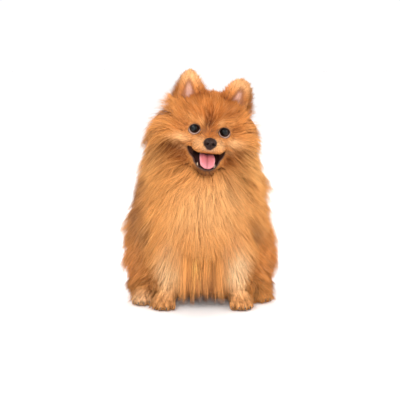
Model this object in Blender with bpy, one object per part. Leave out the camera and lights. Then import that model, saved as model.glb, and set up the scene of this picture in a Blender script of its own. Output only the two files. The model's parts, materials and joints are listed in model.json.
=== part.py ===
# A life-size pomeranian that sits facing -Y with its mouth open, in metres.
# +Z is up, +X is the dog's left side, and the origin is on the floor in the middle of the flat
# that the rump sits on. The flesh is a set of ellipsoids, each with the depth of the coat that
# grows on it. Every node is wrapped round some of them, kept clear of its neighbours, and
# then given flat tapered locks that follow the lie of the coat out to its tips.

import math

import bmesh
import bpy
import numpy as np
from mathutils import Euler, Matrix, Vector
from mathutils.bvhtree import BVHTree

# Gap between touching nodes, and how far a lock keeps from the nodes that it hangs over
GAP = 0.00035
LOCK_CLEARANCE = 0.0005
FLOOR = 0.0
# Points closer than this are one
SPECK = 0.0000015

# The core of the coat fills this share of its depth, and the locks reach the rest
CORE_SHARE = 0.45
HEAD_SHARE = 0.45

# The ruff is parted from the trunk along a plane that drops to the front
PARTING_PLACE = Vector((0, -0.100, 0.166))
PARTING_SLOPE = Vector((0, -0.50, 0.87)).normalized()

# How softly neighbouring ellipsoids run into each other
BODY_BLEND = 0.014
FACE_BLEND = 0.007
PAW_BLEND = 0.003

# The head's place is the point midway between the eyes; it is tipped and turned a little
HEAD_PLACE = Vector((0.0132, -0.184, 0.2622))
HEAD_TIP = math.radians(7.8)
HEAD_TURN = math.radians(5.0)
HEAD = Matrix.Translation(HEAD_PLACE) @ Euler((0, HEAD_TIP, HEAD_TURN)).to_matrix().to_4x4()
BODY = Matrix.Identity(4)

EYE_SPREAD = 0.0215
EYE_DEPTH = 0.0030
EYE_RADIUS = 0.0095
LID_THICKNESS = 0.0016
# The opening between the lids: half its width, its depth and half its height
LID_OPENING = (0.0076, 0.0130, 0.0070)
LID_OPENING_AHEAD = Vector((0.0014, -0.0140, 0))

# Each ear's root across the head, how far it leans out in degrees, and its height
EARS = {"right": (-0.0285, -6.5, 0.0500), "left": (0.0300, 13, 0.0470)}
EAR_ROOT = (0.030, 0.032)
EAR_TURN = 24
EAR_LEAN_BACK = -7
EAR_CUP = 0.0085
# Half the ear's width and its thickness, at even steps from its root to its tip
EAR_WIDTHS = (0.0210, 0.0215, 0.0210, 0.0195, 0.0168, 0.0125, 0.0065)
EAR_THICKNESS = (0.0046, 0.0042, 0.0038, 0.0034, 0.0030, 0.0026, 0.0022)
EAR_ACROSS = 7

# The tongue's midline from its root to its tip (back, up), and half its width there
TONGUE = (
    (0.010, -0.0310, 0.0075), (0.000, -0.0315, 0.0085), (-0.010, -0.0335, 0.0096),
    (-0.019, -0.0370, 0.0103), (-0.027, -0.0415, 0.0104), (-0.033, -0.0460, 0.0095),
    (-0.037, -0.0500, 0.0072), (-0.0385, -0.0530, 0.0040),
)
TONGUE_SIDES = 10
TONGUE_HALF_THICKNESS = 0.0024
TONGUE_GROOVE = 0.0016
TONGUE_GROOVE_WIDTH = 0.0032

# Each toe's place across and ahead in its paw, and how far it turns out in degrees
TOES = ((-0.0112, -0.0085, -10), (-0.0040, -0.0145, -3), (0.0040, -0.0145, 3), (0.0112, -0.0085, 10))
TOE = (0.0052, 0.0105, 0.0080)
TOE_HEIGHT = 0.0072
PAD = (0.0155, 0.0180, 0.0140)
CLAW_RADII = (0.0018, 0.0014, 0.0004)

# Cutters and pads of the face, in the head's frame: centre, radii and, where tipped, degrees
ROOF_OF_MOUTH = ((0, -0.0040, -0.0335), (0.0290, 0.0300, 0.0085), (20, 0, 0))
HOLLOW_OF_JAW = ((0, -0.0040, -0.0290), (0.0240, 0.0280, 0.0110), (30, 0, 0))
LIP_GROOVE = ((0, -0.0365, -0.0255), (0.0008, 0.0050, 0.0060))
NOSE_PAD = ((0, -0.0355, -0.0150), (0.0070, 0.0060, 0.0075))
NOSE_WING = ((0.0052, -0.0350, -0.0150), (0.0046, 0.0055, 0.0052))
NOSTRIL = ((0.0046, -0.0415, -0.0152), (0.0019, 0.0042, 0.0016))
NOSTRIL_SLIT = ((0.0082, -0.0385, -0.0165), (0.0034, 0.0040, 0.0007))

COLOURS = {
    "coat": (0.68, 0.30, 0.09),
    "pale coat": (0.80, 0.44, 0.18),
    "nose": (0.03, 0.02, 0.02),
    "eye": (0.01, 0.007, 0.006),
    "tongue": (0.78, 0.25, 0.26),
    "ear": (0.74, 0.38, 0.18),
    "paw": (0.58, 0.28, 0.11),
}


class Form:
    """An ellipsoid of flesh, with the depth of the coat on it."""

    def __init__(self, centre, radii, coat=0.0, tilt=(0, 0, 0), frame=BODY):
        turn = frame.to_3x3() @ Euler([math.radians(a) for a in tilt]).to_matrix()
        self.centre = np.array(frame @ Vector(centre))
        self.radii = np.array(radii)
        self.coat = coat
        self.turn = np.array(turn)


def mirrored(centre, radii, coat=0.0, tilt=(0, 0, 0), frame=BODY):
    """The same form on the dog's right (-X) and left (+X) side."""
    right = Form((-centre[0], centre[1], centre[2]), radii, coat, (tilt[0], -tilt[1], -tilt[2]), frame)
    return right, Form(centre, radii, coat, tilt, frame)


# Trunk, from the rump on the floor up to the throat
RUMP = Form((0, 0, 0.056), (0.046, 0.046, 0.056), 0.034)
LOIN = Form((0, -0.036, 0.098), (0.049, 0.050, 0.060), 0.042, (-20, 0, 0))
RIBS = Form((0, -0.086, 0.135), (0.053, 0.052, 0.068), 0.046, (-25, 0, 0))
CHEST = Form((0, -0.118, 0.150), (0.046, 0.038, 0.052), 0.048, (-10, 0, 0))
NECK = Form((0.003, -0.112, 0.208), (0.040, 0.042, 0.050), 0.052, (25, 0, 0))
TAIL = Form((0, 0.040, 0.132), (0.013, 0.015, 0.066), 0.044, (12, 0, 0))

# Legs
THIGHS = mirrored((0.062, -0.036, 0.062), (0.026, 0.052, 0.050), 0.034, (-20, 0, -8))
HOCKS = mirrored((0.080, -0.070, 0.017), (0.014, 0.048, 0.015), 0.012, (0, 0, -6))
# A paw's place on the floor, its turn in degrees and its size
HIND_PAWS = (((-0.084, -0.128, 0), -6, 0.92), ((0.090, -0.108, 0), 8, 0.92))
FORE_PAWS = (((-0.0515, -0.160, 0), -3, 1.0), ((0.0590, -0.160, 0), 4, 1.0))
FOREARMS = (
    Form((-0.043, -0.148, 0.070), (0.0135, 0.0155, 0.062), 0.008, (6, 4, 0)),
    Form((0.050, -0.148, 0.070), (0.0135, 0.0155, 0.062), 0.008, (6, -4, 0)),
)

# Head, in its own frame
SKULL = Form((0, 0.030, 0.013), (0.034, 0.036, 0.030), 0.016, frame=HEAD)
BROW = Form((0, 0.012, 0.013), (0.028, 0.018, 0.017), 0.004, frame=HEAD)
CHEEKS = mirrored((0.024, 0.016, -0.011), (0.014, 0.022, 0.015), 0.006, frame=HEAD)
JOWLS = mirrored((0.040, 0.050, -0.014), (0.016, 0.024, 0.028), 0.036, frame=HEAD)
THROAT = Form((0, 0.046, -0.022), (0.030, 0.026, 0.026), 0.022, frame=HEAD)
MUZZLE = Form((0, -0.012, -0.017), (0.0165, 0.024, 0.012), 0.002, (8, 0, 0), HEAD)
LIPS = mirrored((0.0100, -0.014, -0.0215), (0.0115, 0.019, 0.009), 0.002, (6, 0, 16), HEAD)
CHIN = Form((0, -0.006, -0.040), (0.018, 0.027, 0.010), 0.004, (32, 0, 0), HEAD)
GULLET = Form((0, 0.020, -0.034), (0.024, 0.020, 0.016), 0.008, frame=HEAD)
JAW_CORNERS = mirrored((0.021, 0.004, -0.029), (0.0085, 0.016, 0.0070), 0.003, (20, 0, 12), HEAD)

TRUNK = (RUMP, LOIN, RIBS, CHEST, NECK)
HEAD_FORMS = (SKULL, BROW, THROAT, MUZZLE, *CHEEKS, *JOWLS, *LIPS)
JAW_FORMS = (CHIN, GULLET, *JAW_CORNERS)
EVERY_FORM = (*TRUNK, TAIL, *THIGHS, *HOCKS, *FOREARMS, *HEAD_FORMS, *JAW_FORMS)


def smooth_min(a, b, blend):
    mix = np.clip(0.5 + 0.5 * (b - a) / blend, 0, 1)
    return b * (1 - mix) + a * mix - blend * mix * (1 - mix)


def reach(points, forms, share=CORE_SHARE, blend=BODY_BLEND):
    """Signed distance of points from the forms, each fattened by that share of its coat."""
    total = None
    for form in forms:
        local = (points - form.centre) @ form.turn
        radii = form.radii + share * form.coat
        scaled = np.linalg.norm(local / radii, axis=1)
        slope = np.linalg.norm(local / radii**2, axis=1) + 1e-9
        depth = scaled * (scaled - 1) / slope
        total = depth if total is None else smooth_min(total, depth, blend)
    return total


def outward(points, forms, share=CORE_SHARE, step=0.0005):
    """Unit normals of the fattened forms at points."""
    slopes = [
        reach(points + step * axis, forms, share) - reach(points - step * axis, forms, share)
        for axis in np.eye(3)
    ]
    normals = np.stack(slopes, axis=1)
    return normals / (np.linalg.norm(normals, axis=1, keepdims=True) + 1e-12)


def material(name, roughness):
    made = bpy.data.materials.get(name) or bpy.data.materials.new(name)
    made.use_nodes = True
    shader = made.node_tree.nodes["Principled BSDF"]
    shader.inputs["Base Color"].default_value = (*COLOURS[name], 1)
    shader.inputs["Roughness"].default_value = roughness
    shader.inputs["Metallic"].default_value = 0.0
    return made


def add_object(name, points, faces):
    mesh = bpy.data.meshes.new(name)
    mesh.from_pydata([tuple(p) for p in points], [], faces)
    mesh.validate()
    made = bpy.data.objects.new(name, mesh)
    bpy.context.scene.collection.objects.link(made)
    return made


def closed_mesh(name, points, faces):
    """A new object from the faces of one closed surface, turned to face out."""
    made = add_object(name, points, faces)
    edit(made, lambda mesh: bmesh.ops.recalc_face_normals(mesh, faces=mesh.faces[:]))
    return made


def edit(node, work):
    """Runs work on the node's mesh as a bmesh, then keeps its largest closed surface."""
    mesh = bmesh.new()
    mesh.from_mesh(node.data)
    work(mesh)
    keep_largest(mesh)
    bmesh.ops.triangulate(mesh, faces=mesh.faces[:])
    mesh.to_mesh(node.data)
    mesh.free()
    node.data.update()


def keep_largest(mesh):
    """Removes every shell but the largest. Shells that touch only at a point count as apart."""
    bmesh.ops.remove_doubles(mesh, verts=mesh.verts[:], dist=SPECK)
    bmesh.ops.dissolve_degenerate(mesh, edges=mesh.edges[:], dist=SPECK)
    left = set(mesh.faces)
    shells = []
    while left:
        reached = [left.pop()]
        shell = set(reached)
        while reached:
            edges = [e for face in reached for e in face.edges if len(e.link_faces) == 2]
            reached = list({face for e in edges for face in e.link_faces} & left)
            left -= set(reached)
            shell |= set(reached)
        shells.append(shell)
    largest = max(shells, key=shell_size)
    spare = [face for face in mesh.faces if face not in largest]
    bmesh.ops.delete(mesh, geom=spare, context="FACES")
    bmesh.ops.delete(mesh, geom=[v for v in mesh.verts if not v.link_faces], context="VERTS")


def shell_size(shell):
    corners = np.array([v.co for face in shell for v in face.verts])
    return float(np.prod(corners.max(0) - corners.min(0) + 1e-6))


def boolean(node, operation, others, solver="EXACT"):
    """Applies one Boolean with a collection of closed meshes, and removes them."""
    tools = bpy.data.collections.new("tools")
    bpy.context.scene.collection.children.link(tools)
    for other in others:
        tools.objects.link(other)
    modifier = node.modifiers.new(operation, "BOOLEAN")
    modifier.operation = operation
    modifier.solver = solver
    modifier.operand_type = "COLLECTION"
    modifier.collection = tools
    bpy.context.view_layer.update()
    graph = bpy.context.evaluated_depsgraph_get()
    result = bpy.data.meshes.new_from_object(node.evaluated_get(graph))
    node.modifiers.clear()
    node.data = result
    node.data.name = node.name
    for other in others:
        bpy.data.objects.remove(other)
    bpy.data.collections.remove(tools)
    edit(node, lambda mesh: None)


def copied(node):
    made = node.copy()
    made.data = node.data.copy()
    bpy.context.scene.collection.objects.link(made)
    return made


def swollen(node, gap=GAP):
    """A copy of the node whose faces all stand proud of it by the gap, to cut a neighbour with."""
    made = copied(node)
    normals = [v.normal.copy() for v in node.data.vertices]
    slant = [1.0] * len(normals)
    for face in node.data.polygons:
        for index in face.vertices:
            slant[index] = min(slant[index], max(0.4, face.normal.dot(normals[index])))
    for vertex, normal, share in zip(made.data.vertices, normals, slant):
        vertex.co += normal * gap / share
    return made


def sliced(node, point, normal):
    """Cuts off what lies beyond a plane, and closes the cut with a flat face."""

    def cut(mesh):
        found = bmesh.ops.bisect_plane(
            mesh, geom=mesh.verts[:] + mesh.edges[:] + mesh.faces[:],
            plane_co=point, plane_no=normal, clear_outer=True,
        )
        rim = [g for g in found["geom_cut"] if isinstance(g, bmesh.types.BMEdge)]
        bmesh.ops.holes_fill(mesh, edges=rim, sides=0)

    edit(node, cut)
    return node


def on_floor(node, level=FLOOR):
    return sliced(node, (0, 0, level), (0, 0, -1))


def wrap(name, forms, centre, pole, rings, segments, share=CORE_SHARE, blend=BODY_BLEND, crowd=1.0):
    """A closed mesh drawn in on the forms along rays from centre. Its rings circle the pole,
    and crowd above 1 sets them closer together at the pole's end."""
    pole = np.array(Vector(pole).normalized())
    side = np.cross(pole, (0, 0, 1.0))
    if np.linalg.norm(side) < 0.1:
        side = np.array((1.0, 0, 0))
    side /= np.linalg.norm(side)
    over = np.cross(side, pole)
    rays = [pole]
    for ring in range(1, rings):
        lean = math.pi * (ring / rings) ** crowd
        for segment in range(segments):
            turn = math.tau * (segment + 0.5 * (ring % 2)) / segments
            across = math.cos(turn) * side + math.sin(turn) * over
            rays.append(math.cos(lean) * pole + math.sin(lean) * across)
    rays.append(-pole)
    points = along_rays(np.array(centre), np.array(rays), forms, share, blend)
    last = len(points) - 1
    faces = []
    for s in range(segments):
        t = (s + 1) % segments
        faces.append((0, 1 + s, 1 + t))
        for ring in range(rings - 2):
            a, b = 1 + ring * segments, 1 + (ring + 1) * segments
            if ring % 2 == 0:
                faces += [(a + s, b + s, a + t), (a + t, b + s, b + t)]
            else:
                faces += [(a + s, b + s, b + t), (a + s, b + t, a + t)]
        base = 1 + (rings - 2) * segments
        faces.append((last, base + t, base + s))
    return closed_mesh(name, points, faces)


def along_rays(centre, rays, forms, share, blend, far=0.26, samples=131):
    """Where rays from centre leave the forms for the last time."""
    steps = np.linspace(0.001, far, samples)
    probes = centre + rays[:, None, :] * steps[None, :, None]
    inside = reach(probes.reshape(-1, 3), forms, share, blend).reshape(len(rays), -1) < 0
    last = samples - 1 - np.argmax(inside[:, ::-1], axis=1)
    low, high = steps[last], steps[np.minimum(last + 1, samples - 1)]
    for _ in range(20):
        middle = (low + high) / 2
        within = reach(centre + rays * middle[:, None], forms, share, blend) < 0
        low, high = np.where(within, middle, low), np.where(within, high, middle)
    return centre + rays * low[:, None]


def ball(name, centre, radii, rings=10, segments=14, tilt=(0, 0, 0), frame=HEAD):
    form = Form(centre, radii, 0, tilt, frame)
    pole = form.turn @ np.array((0, -1.0, 0))
    return wrap(name, [form], form.centre, pole, rings, segments)


def tube_faces(rings, sides):
    """Faces that join rings of points into a closed tube."""
    faces = []
    for i in range(rings - 1):
        for s in range(sides):
            t = (s + 1) % sides
            faces.append((i * sides + s, i * sides + t, (i + 1) * sides + t, (i + 1) * sides + s))
    faces.append(tuple(range(sides)))
    faces.append(tuple(range((rings - 1) * sides, rings * sides)))
    return faces


def tapered(name, spine, radii, sides):
    """A round bar along the spine's points, closed at both ends."""
    points = []
    spine = [Vector(p) for p in spine]
    last = len(spine) - 1
    for i, (centre, radius) in enumerate(zip(spine, radii)):
        ahead = (spine[min(i + 1, last)] - spine[max(i - 1, 0)]).normalized()
        side = ahead.cross(Vector((0, 0, 1))).normalized()
        over = side.cross(ahead)
        for s in range(sides):
            turn = math.tau * s / sides
            points.append(centre + radius * (math.cos(turn) * side + math.sin(turn) * over))
    return closed_mesh(name, points, tube_faces(len(spine), sides))


def paw_forms(place, turn, size):
    """A pad and four toes that spread a little."""
    frame = Matrix.Translation(place) @ Matrix.Rotation(math.radians(turn), 4, "Z")
    forms = [Form((0, 0.006, 0.0120), [size * r for r in PAD], frame=frame)]
    for across, ahead, spread in TOES:
        toe = [size * r for r in TOE]
        forms.append(Form((across * size, ahead * size, TOE_HEIGHT), toe, 0, (14, 0, spread), frame))
    return forms


def claw(toe):
    """A small curved claw that leaves the front of a toe."""
    ahead = toe.turn @ np.array((0, -1.0, 0))
    start = toe.centre + ahead * (toe.radii[1] - 0.0040) + np.array((0, 0, 0.0012))
    bend = start + ahead * 0.0058 + np.array((0, 0, 0.0006))
    tip = bend + ahead * 0.0034 + np.array((0, 0, -0.0026))
    return tapered("claw", [start, bend, tip], CLAW_RADII, 4)


def paw(name, place, turn, size):
    forms = paw_forms(place, turn, size)
    centre = forms[0].centre + np.array((0, -0.004, -0.002))
    return on_floor(wrap(name, forms, centre, (0, -1, 0.12), 9, 15, 1.0, PAW_BLEND, crowd=1.1))


def add_claws(node, place, turn, size):
    boolean(node, "UNION", [claw(toe) for toe in paw_forms(place, turn, size)[1:]])


def ear(side_name):
    """A pricked ear: a leaf that is cupped to the front, with its root in the skull."""
    across, lean, height = EARS[side_name]
    side = math.copysign(1, across)
    frame = HEAD @ Matrix.Translation((across, *EAR_ROOT))
    frame = frame @ Matrix.Rotation(math.radians(lean), 4, "Y")
    frame = frame @ Matrix.Rotation(math.radians(side * EAR_TURN), 4, "Z")
    frame = frame @ Matrix.Rotation(math.radians(-EAR_LEAN_BACK), 4, "X")
    points, faces = [], []
    steps = len(EAR_WIDTHS)
    for back in (0, 1):
        for i, (half, thick) in enumerate(zip(EAR_WIDTHS, EAR_THICKNESS)):
            share = i / (steps - 1)
            cup = EAR_CUP * (1 - 0.7 * share)
            for j in range(EAR_ACROSS):
                u = 2 * j / (EAR_ACROSS - 1) - 1
                behind = back * thick * (1 - 0.75 * u * u) - cup * u * u
                round_off = 0.0035 * u * u if i == steps - 1 else 0
                points.append(frame @ Vector((half * u, behind, height * share**0.92 - round_off)))
    count = steps * EAR_ACROSS
    for i in range(steps - 1):
        for j in range(EAR_ACROSS - 1):
            a, b = i * EAR_ACROSS + j, (i + 1) * EAR_ACROSS + j
            for front in ((a, a + 1, b + 1), (a, b + 1, b)):
                faces += [front, tuple(count + k for k in reversed(front))]
    return closed_mesh("ear_" + side_name, points, faces + rim(steps, EAR_ACROSS))


def rim(rows, columns):
    """The faces that close the edge between a front and a back grid of points."""
    count = rows * columns
    edge = [j for j in range(columns)]
    edge += [i * columns + columns - 1 for i in range(1, rows)]
    edge += [(rows - 1) * columns + j for j in range(columns - 2, -1, -1)]
    edge += [i * columns for i in range(rows - 2, 0, -1)]
    faces = []
    for a, b in zip(edge, edge[1:] + edge[:1]):
        faces += [(a, b, b + count), (a, b + count, a + count)]
    return faces


def tongue():
    """A flat tongue with a groove, that lies on the jaw and hangs a little over it."""
    points = []
    last = len(TONGUE) - 1
    for i, (along, up, half) in enumerate(TONGUE):
        before, after = TONGUE[max(i - 1, 0)], TONGUE[min(i + 1, last)]
        over = Vector((0, after[1] - before[1], before[0] - after[0])).normalized()
        for s in range(TONGUE_SIDES):
            turn = math.tau * (s + 0.5) / TONGUE_SIDES
            across = half * math.cos(turn)
            high = TONGUE_HALF_THICKNESS * math.sin(turn)
            if high > 0:
                high -= TONGUE_GROOVE * math.exp(-((across / TONGUE_GROOVE_WIDTH) ** 2))
            points.append(HEAD @ (Vector((across, along, up)) + over * high))
    return closed_mesh("tongue", points, tube_faces(len(TONGUE), TONGUE_SIDES))


def eye_place(side):
    return (side * EYE_SPREAD, EYE_DEPTH, 0.0)


def eye(name, side):
    """The eyeball, a shade smaller than its socket."""
    radius = EYE_RADIUS - GAP
    return ball(name, eye_place(side), (radius, radius, radius), 8, 14)


def add_lids(head, side):
    """Lids are what is left of a bead once the opening and the socket are cut from it."""
    outer = EYE_RADIUS + LID_THICKNESS
    bead = ball("bead", eye_place(side), (outer, outer, outer), 8, 13)
    boolean(head, "UNION", [bead])
    ahead = Vector((side * LID_OPENING_AHEAD.x, LID_OPENING_AHEAD.y, LID_OPENING_AHEAD.z))
    opening = ball("opening", Vector(eye_place(side)) + ahead, LID_OPENING, 6, 14)
    boolean(head, "DIFFERENCE", [opening])
    socket = ball("socket", eye_place(side), (EYE_RADIUS, EYE_RADIUS, EYE_RADIUS), 8, 14)
    boolean(head, "DIFFERENCE", [socket])


def head_core():
    ahead = HEAD.to_3x3() @ Vector((0, -1, 0))
    return wrap("head", HEAD_FORMS, HEAD @ Vector((0, 0.014, -0.006)), ahead, 20, 24,
                HEAD_SHARE, FACE_BLEND, crowd=1.3)


def detail_head(head):
    """Adds the lids and their sockets, the roof of the mouth and the groove under the nose."""
    for side in (-1, 1):
        add_lids(head, side)
    centre, radii, tilt = ROOF_OF_MOUTH
    boolean(head, "DIFFERENCE", [ball("roof", centre, radii, 7, 12, tilt)])
    boolean(head, "DIFFERENCE", [ball("groove", *LIP_GROOVE, 5, 6)])


def jaw_core():
    ahead = HEAD.to_3x3() @ Vector((0, -0.9, -0.45))
    return wrap("lower_jaw", JAW_FORMS, HEAD @ Vector((0, 0, -0.040)), ahead, 10, 16,
                HEAD_SHARE, FACE_BLEND, crowd=1.15)


def detail_jaw(jaw):
    """Hollows the jaw into a trough under the tongue."""
    centre, radii, tilt = HOLLOW_OF_JAW
    boolean(jaw, "DIFFERENCE", [ball("hollow", centre, radii, 8, 14, tilt)])


def nose_core():
    forms = [Form(*NOSE_PAD, frame=HEAD), *mirrored(*NOSE_WING, frame=HEAD)]
    ahead = HEAD.to_3x3() @ Vector((0, -1, 0))
    return wrap("nose", forms, forms[0].centre, ahead, 8, 12, 1.0, PAW_BLEND)


def detail_nose(nose):
    """A nostril on each side, that runs out into a slit."""
    for side in (-1, 1):
        cutters = []
        for (across, along, up), radii in (NOSTRIL, NOSTRIL_SLIT):
            cutters.append(ball("nostril", (side * across, along, up), radii, 5, 6))
        boolean(nose, "DIFFERENCE", cutters)


def finish(node, colour, roughness):
    node.data.materials.clear()
    node.data.materials.append(material(colour, roughness))
    for face in node.data.polygons:
        face.use_smooth = True
    node.data.set_sharp_from_angle(angle=math.radians(40))


def clear_scene():
    for old in list(bpy.data.objects):
        bpy.data.objects.remove(old)


def whole_nodes():
    """Every node before it is kept clear of its neighbours."""
    made = {"head": head_core(), "nose": nose_core(), "lower_jaw": jaw_core(), "tongue": tongue()}
    for index, name in enumerate(("right", "left")):
        made["eye_" + name] = eye("eye_" + name, 2 * index - 1)
        made["ear_" + name] = ear(name)
        made["forepaw_" + name] = paw("forepaw_" + name, *FORE_PAWS[index])
        made["hind_paw_" + name] = paw("hind_paw_" + name, *HIND_PAWS[index])
        arm, thigh, hock = FOREARMS[index], THIGHS[index], HOCKS[index]
        foreleg = wrap("foreleg_" + name, (arm,), arm.centre, (0, 0, 1), 9, 12)
        made["foreleg_" + name] = on_floor(foreleg, 0.004)
        hind_leg = wrap("hind_leg_" + name, (thigh, hock), thigh.centre, (0, 0, 1), 11, 16)
        made["hind_leg_" + name] = on_floor(hind_leg)
    made["torso"] = on_floor(wrap("torso", TRUNK, (0, -0.075, 0.125), (0, 0, 1), 20, 24))
    made["tail"] = wrap("tail", (TAIL,), TAIL.centre, (0, 0, 1), 10, 12)
    return made


def part_neck(torso):
    """Parts the ruff from the trunk with a thin slanting cut, and returns it."""
    neck = copied(torso)
    neck.name = "neck"
    half = PARTING_SLOPE * GAP / 2
    sliced(neck, PARTING_PLACE + half, -PARTING_SLOPE)
    sliced(torso, PARTING_PLACE - half, PARTING_SLOPE)
    return neck


# Which nodes each node gives way to
GIVES_WAY = (
    ("torso", ("head", "lower_jaw")),
    ("nose", ("head",)),
    ("lower_jaw", ("head",)),
    ("tongue", ("hollow jaw",)),
    ("ear_right", ("head",)),
    ("ear_left", ("head",)),
    ("foreleg_right", ("forepaw_right", "torso")),
    ("foreleg_left", ("forepaw_left", "torso")),
    ("hind_leg_right", ("hind_paw_right", "foreleg_right", "torso")),
    ("hind_leg_left", ("hind_paw_left", "foreleg_left", "torso")),
    ("tail", ("torso",)),
)


def make_cores():
    """Every node without its locks, cut so that it meets the others across a small gap."""
    made = whole_nodes()
    cutters = {name: swollen(node) for name, node in made.items()}
    detail_jaw(made["lower_jaw"])
    cutters["hollow jaw"] = swollen(made["lower_jaw"])
    for name, others in GIVES_WAY:
        boolean(made[name], "DIFFERENCE", [copied(cutters[other]) for other in others])
    for cutter in cutters.values():
        bpy.data.objects.remove(cutter)
    made["neck"] = part_neck(made["torso"])
    detail_head(made["head"])
    detail_nose(made["nose"])
    for index, name in enumerate(("right", "left")):
        add_claws(made["forepaw_" + name], *FORE_PAWS[index])
        add_claws(made["hind_paw_" + name], *HIND_PAWS[index])
    return made


# How a lock's length, width and spacing follow from the depth of the coat over the core
LOCK_LEAST = 0.010
LOCK_PER_DEPTH = 1.9
LOCK_WIDTH_SHARE = 0.47
LOCK_SPACING_SHARE = 0.54
LOCK_THICKNESS_SHARE = 0.085
LOCK_ROOT = 0.004
LEAST_DEPTH = 0.0065
LOWEST_LOCK = 0.003
LOWEST_ROOT = 0.012
SWAY = 0.22
ROOT_TRIES = 6000
# Roots lie this near to the outside of the whole coat's core, and face the same way as it
ROOT_BAND = (-0.0145, 0.0045)
ROOT_FACING = 0.7
# A lock that meets another node is lifted, then shortened: shares of its height and length
LOCK_TRIES = ((1.0, 1.0), (1.25, 1.0), (1.5, 1.0), (1.8, 0.95), (1.3, 0.75), (1.7, 0.7), (1.4, 0.5))

# Where a lock's rings stand along it, how wide and how thick each is, and how high it has risen
RINGS = ((0.0, 0.34, 0.6), (0.26, 0.94, 1.0), (0.60, 0.92, 0.8), (0.86, 0.48, 0.5))
RISE_POWER = 0.85
LOCK_SIDES = 3

# Behind this depth of the head, or outside this half width, its coat is long enough for locks
FACE_EDGE = 0.022
FACE_HALF_WIDTH = 0.038

# The coat runs back from this point of the face, and hangs a little with its own weight
PARTING = np.array(HEAD @ Vector((0, -0.022, -0.010)))
HANG = 0.75


def lie(points, name):
    """The direction in which the coat runs at points of that node."""
    away = points - PARTING
    away /= np.linalg.norm(away, axis=1, keepdims=True)
    down = np.array((0, 0, -1.0))
    if name == "head":
        return away + 0.15 * down
    if name == "tail":
        aside = (points - TAIL.centre) * np.array((1.0, 1.0, 0.2)) / 0.06
        return aside + np.array((0, -0.10, 0.55))
    if "leg" in name:
        aside = np.sign(points[:, :1]) * np.array((0.25, 0, 0))
        return down + aside + np.array((0, 0.35, 0))
    return away + HANG * down


def coat_over(points):
    """The depth of the coat between the core's surface and its tips, near the surface."""
    return reach(points, EVERY_FORM) - reach(points, EVERY_FORM, 1.0)


def behind_face(points):
    """Whether points of the head lie behind its short-haired face."""
    local = (points - np.array(HEAD_PLACE)) @ np.array(HEAD.to_3x3())
    beside = np.abs(local[:, 0])
    return (local[:, 1] > FACE_EDGE) | ((beside > FACE_HALF_WIDTH) & (local[:, 1] > 0))


def pick_roots(node, name, draw):
    """Points spread evenly over the outside of the node where its coat is long, with normals."""
    mesh = node.data
    mesh.calc_loop_triangles()
    corners = np.array([v.co for v in mesh.vertices])[[t.vertices[:] for t in mesh.loop_triangles]]
    across = np.cross(corners[:, 1] - corners[:, 0], corners[:, 2] - corners[:, 0])
    areas = np.linalg.norm(across, axis=1)
    chosen = draw.choice(len(areas), ROOT_TRIES, p=areas / areas.sum())
    mix = draw.random((ROOT_TRIES, 2))
    mix = np.where(mix.sum(1, keepdims=True) > 1, 1 - mix, mix)
    a, b, c = (corners[chosen, i] for i in range(3))
    points = a + mix[:, :1] * (b - a) + mix[:, 1:] * (c - a)
    normals = across[chosen] / areas[chosen, None]
    depth = coat_over(points)
    height = reach(points, EVERY_FORM)
    facing = (normals * outward(points, EVERY_FORM)).sum(1) > ROOT_FACING
    able = facing & (height > ROOT_BAND[0]) & (height < ROOT_BAND[1])
    able &= (depth > LEAST_DEPTH) & (points[:, 2] > LOWEST_ROOT)
    if name == "head":
        able &= behind_face(points)
    able = np.flatnonzero(able)
    kept = []
    for index in able:
        apart = LOCK_SPACING_SHARE * (LOCK_LEAST + LOCK_PER_DEPTH * depth[index])
        if all(np.linalg.norm(points[index] - points[other]) > apart for other in kept):
            kept.append(index)
    return points[kept], normals[kept], depth[kept]


def lock_rings(roots, normals, depth, sway, name, lift, shrink):
    """Rings of each lock, walked from its root along the lie while it rises to its tip."""
    length = (LOCK_LEAST + LOCK_PER_DEPTH * depth) * shrink
    steps = [r[0] for r in RINGS] + [1.0]
    place = roots - normals * LOCK_ROOT
    start = reach(place, EVERY_FORM)
    spine, tops = [place], [normals]
    for before, now in zip(steps, steps[1:]):
        up = outward(place, EVERY_FORM)
        ahead = lie(place, name) + sway * (0.5 - before)
        ahead -= up * (ahead * up).sum(1, keepdims=True)
        ahead /= np.linalg.norm(ahead, axis=1, keepdims=True) + 1e-9
        place = place + ahead * (length * (now - before))[:, None]
        wanted = start + (depth * lift - start) * now**RISE_POWER
        for _ in range(3):
            up = outward(place, EVERY_FORM)
            place = place + up * (wanted - reach(place, EVERY_FORM))[:, None]
        place[:, 2] = np.maximum(place[:, 2], LOWEST_LOCK + 0.003)
        spine.append(place)
        tops.append(up)
    return np.stack(spine, 1), np.stack(tops, 1), length


def lock_points(spine, tops, length, extra=0.0):
    """The corners of one lock: both edges and the crest of each ring, then its tip."""
    points = []
    for i, (_, wide, thick) in enumerate(RINGS):
        ahead = spine[i + 1] - spine[max(i - 1, 0)]
        side = np.cross(ahead, tops[i])
        side /= np.linalg.norm(side) + 1e-9
        over = np.cross(side, ahead)
        over /= np.linalg.norm(over) + 1e-9
        half = 0.5 * LOCK_WIDTH_SHARE * length * wide + extra
        high = LOCK_THICKNESS_SHARE * length * thick + extra
        points += [spine[i] - half * side, spine[i] + high * over, spine[i] + half * side]
    tip = spine[-1] - spine[-2]
    points.append(spine[-1] + tip / (np.linalg.norm(tip) + 1e-9) * extra)
    return points


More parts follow.
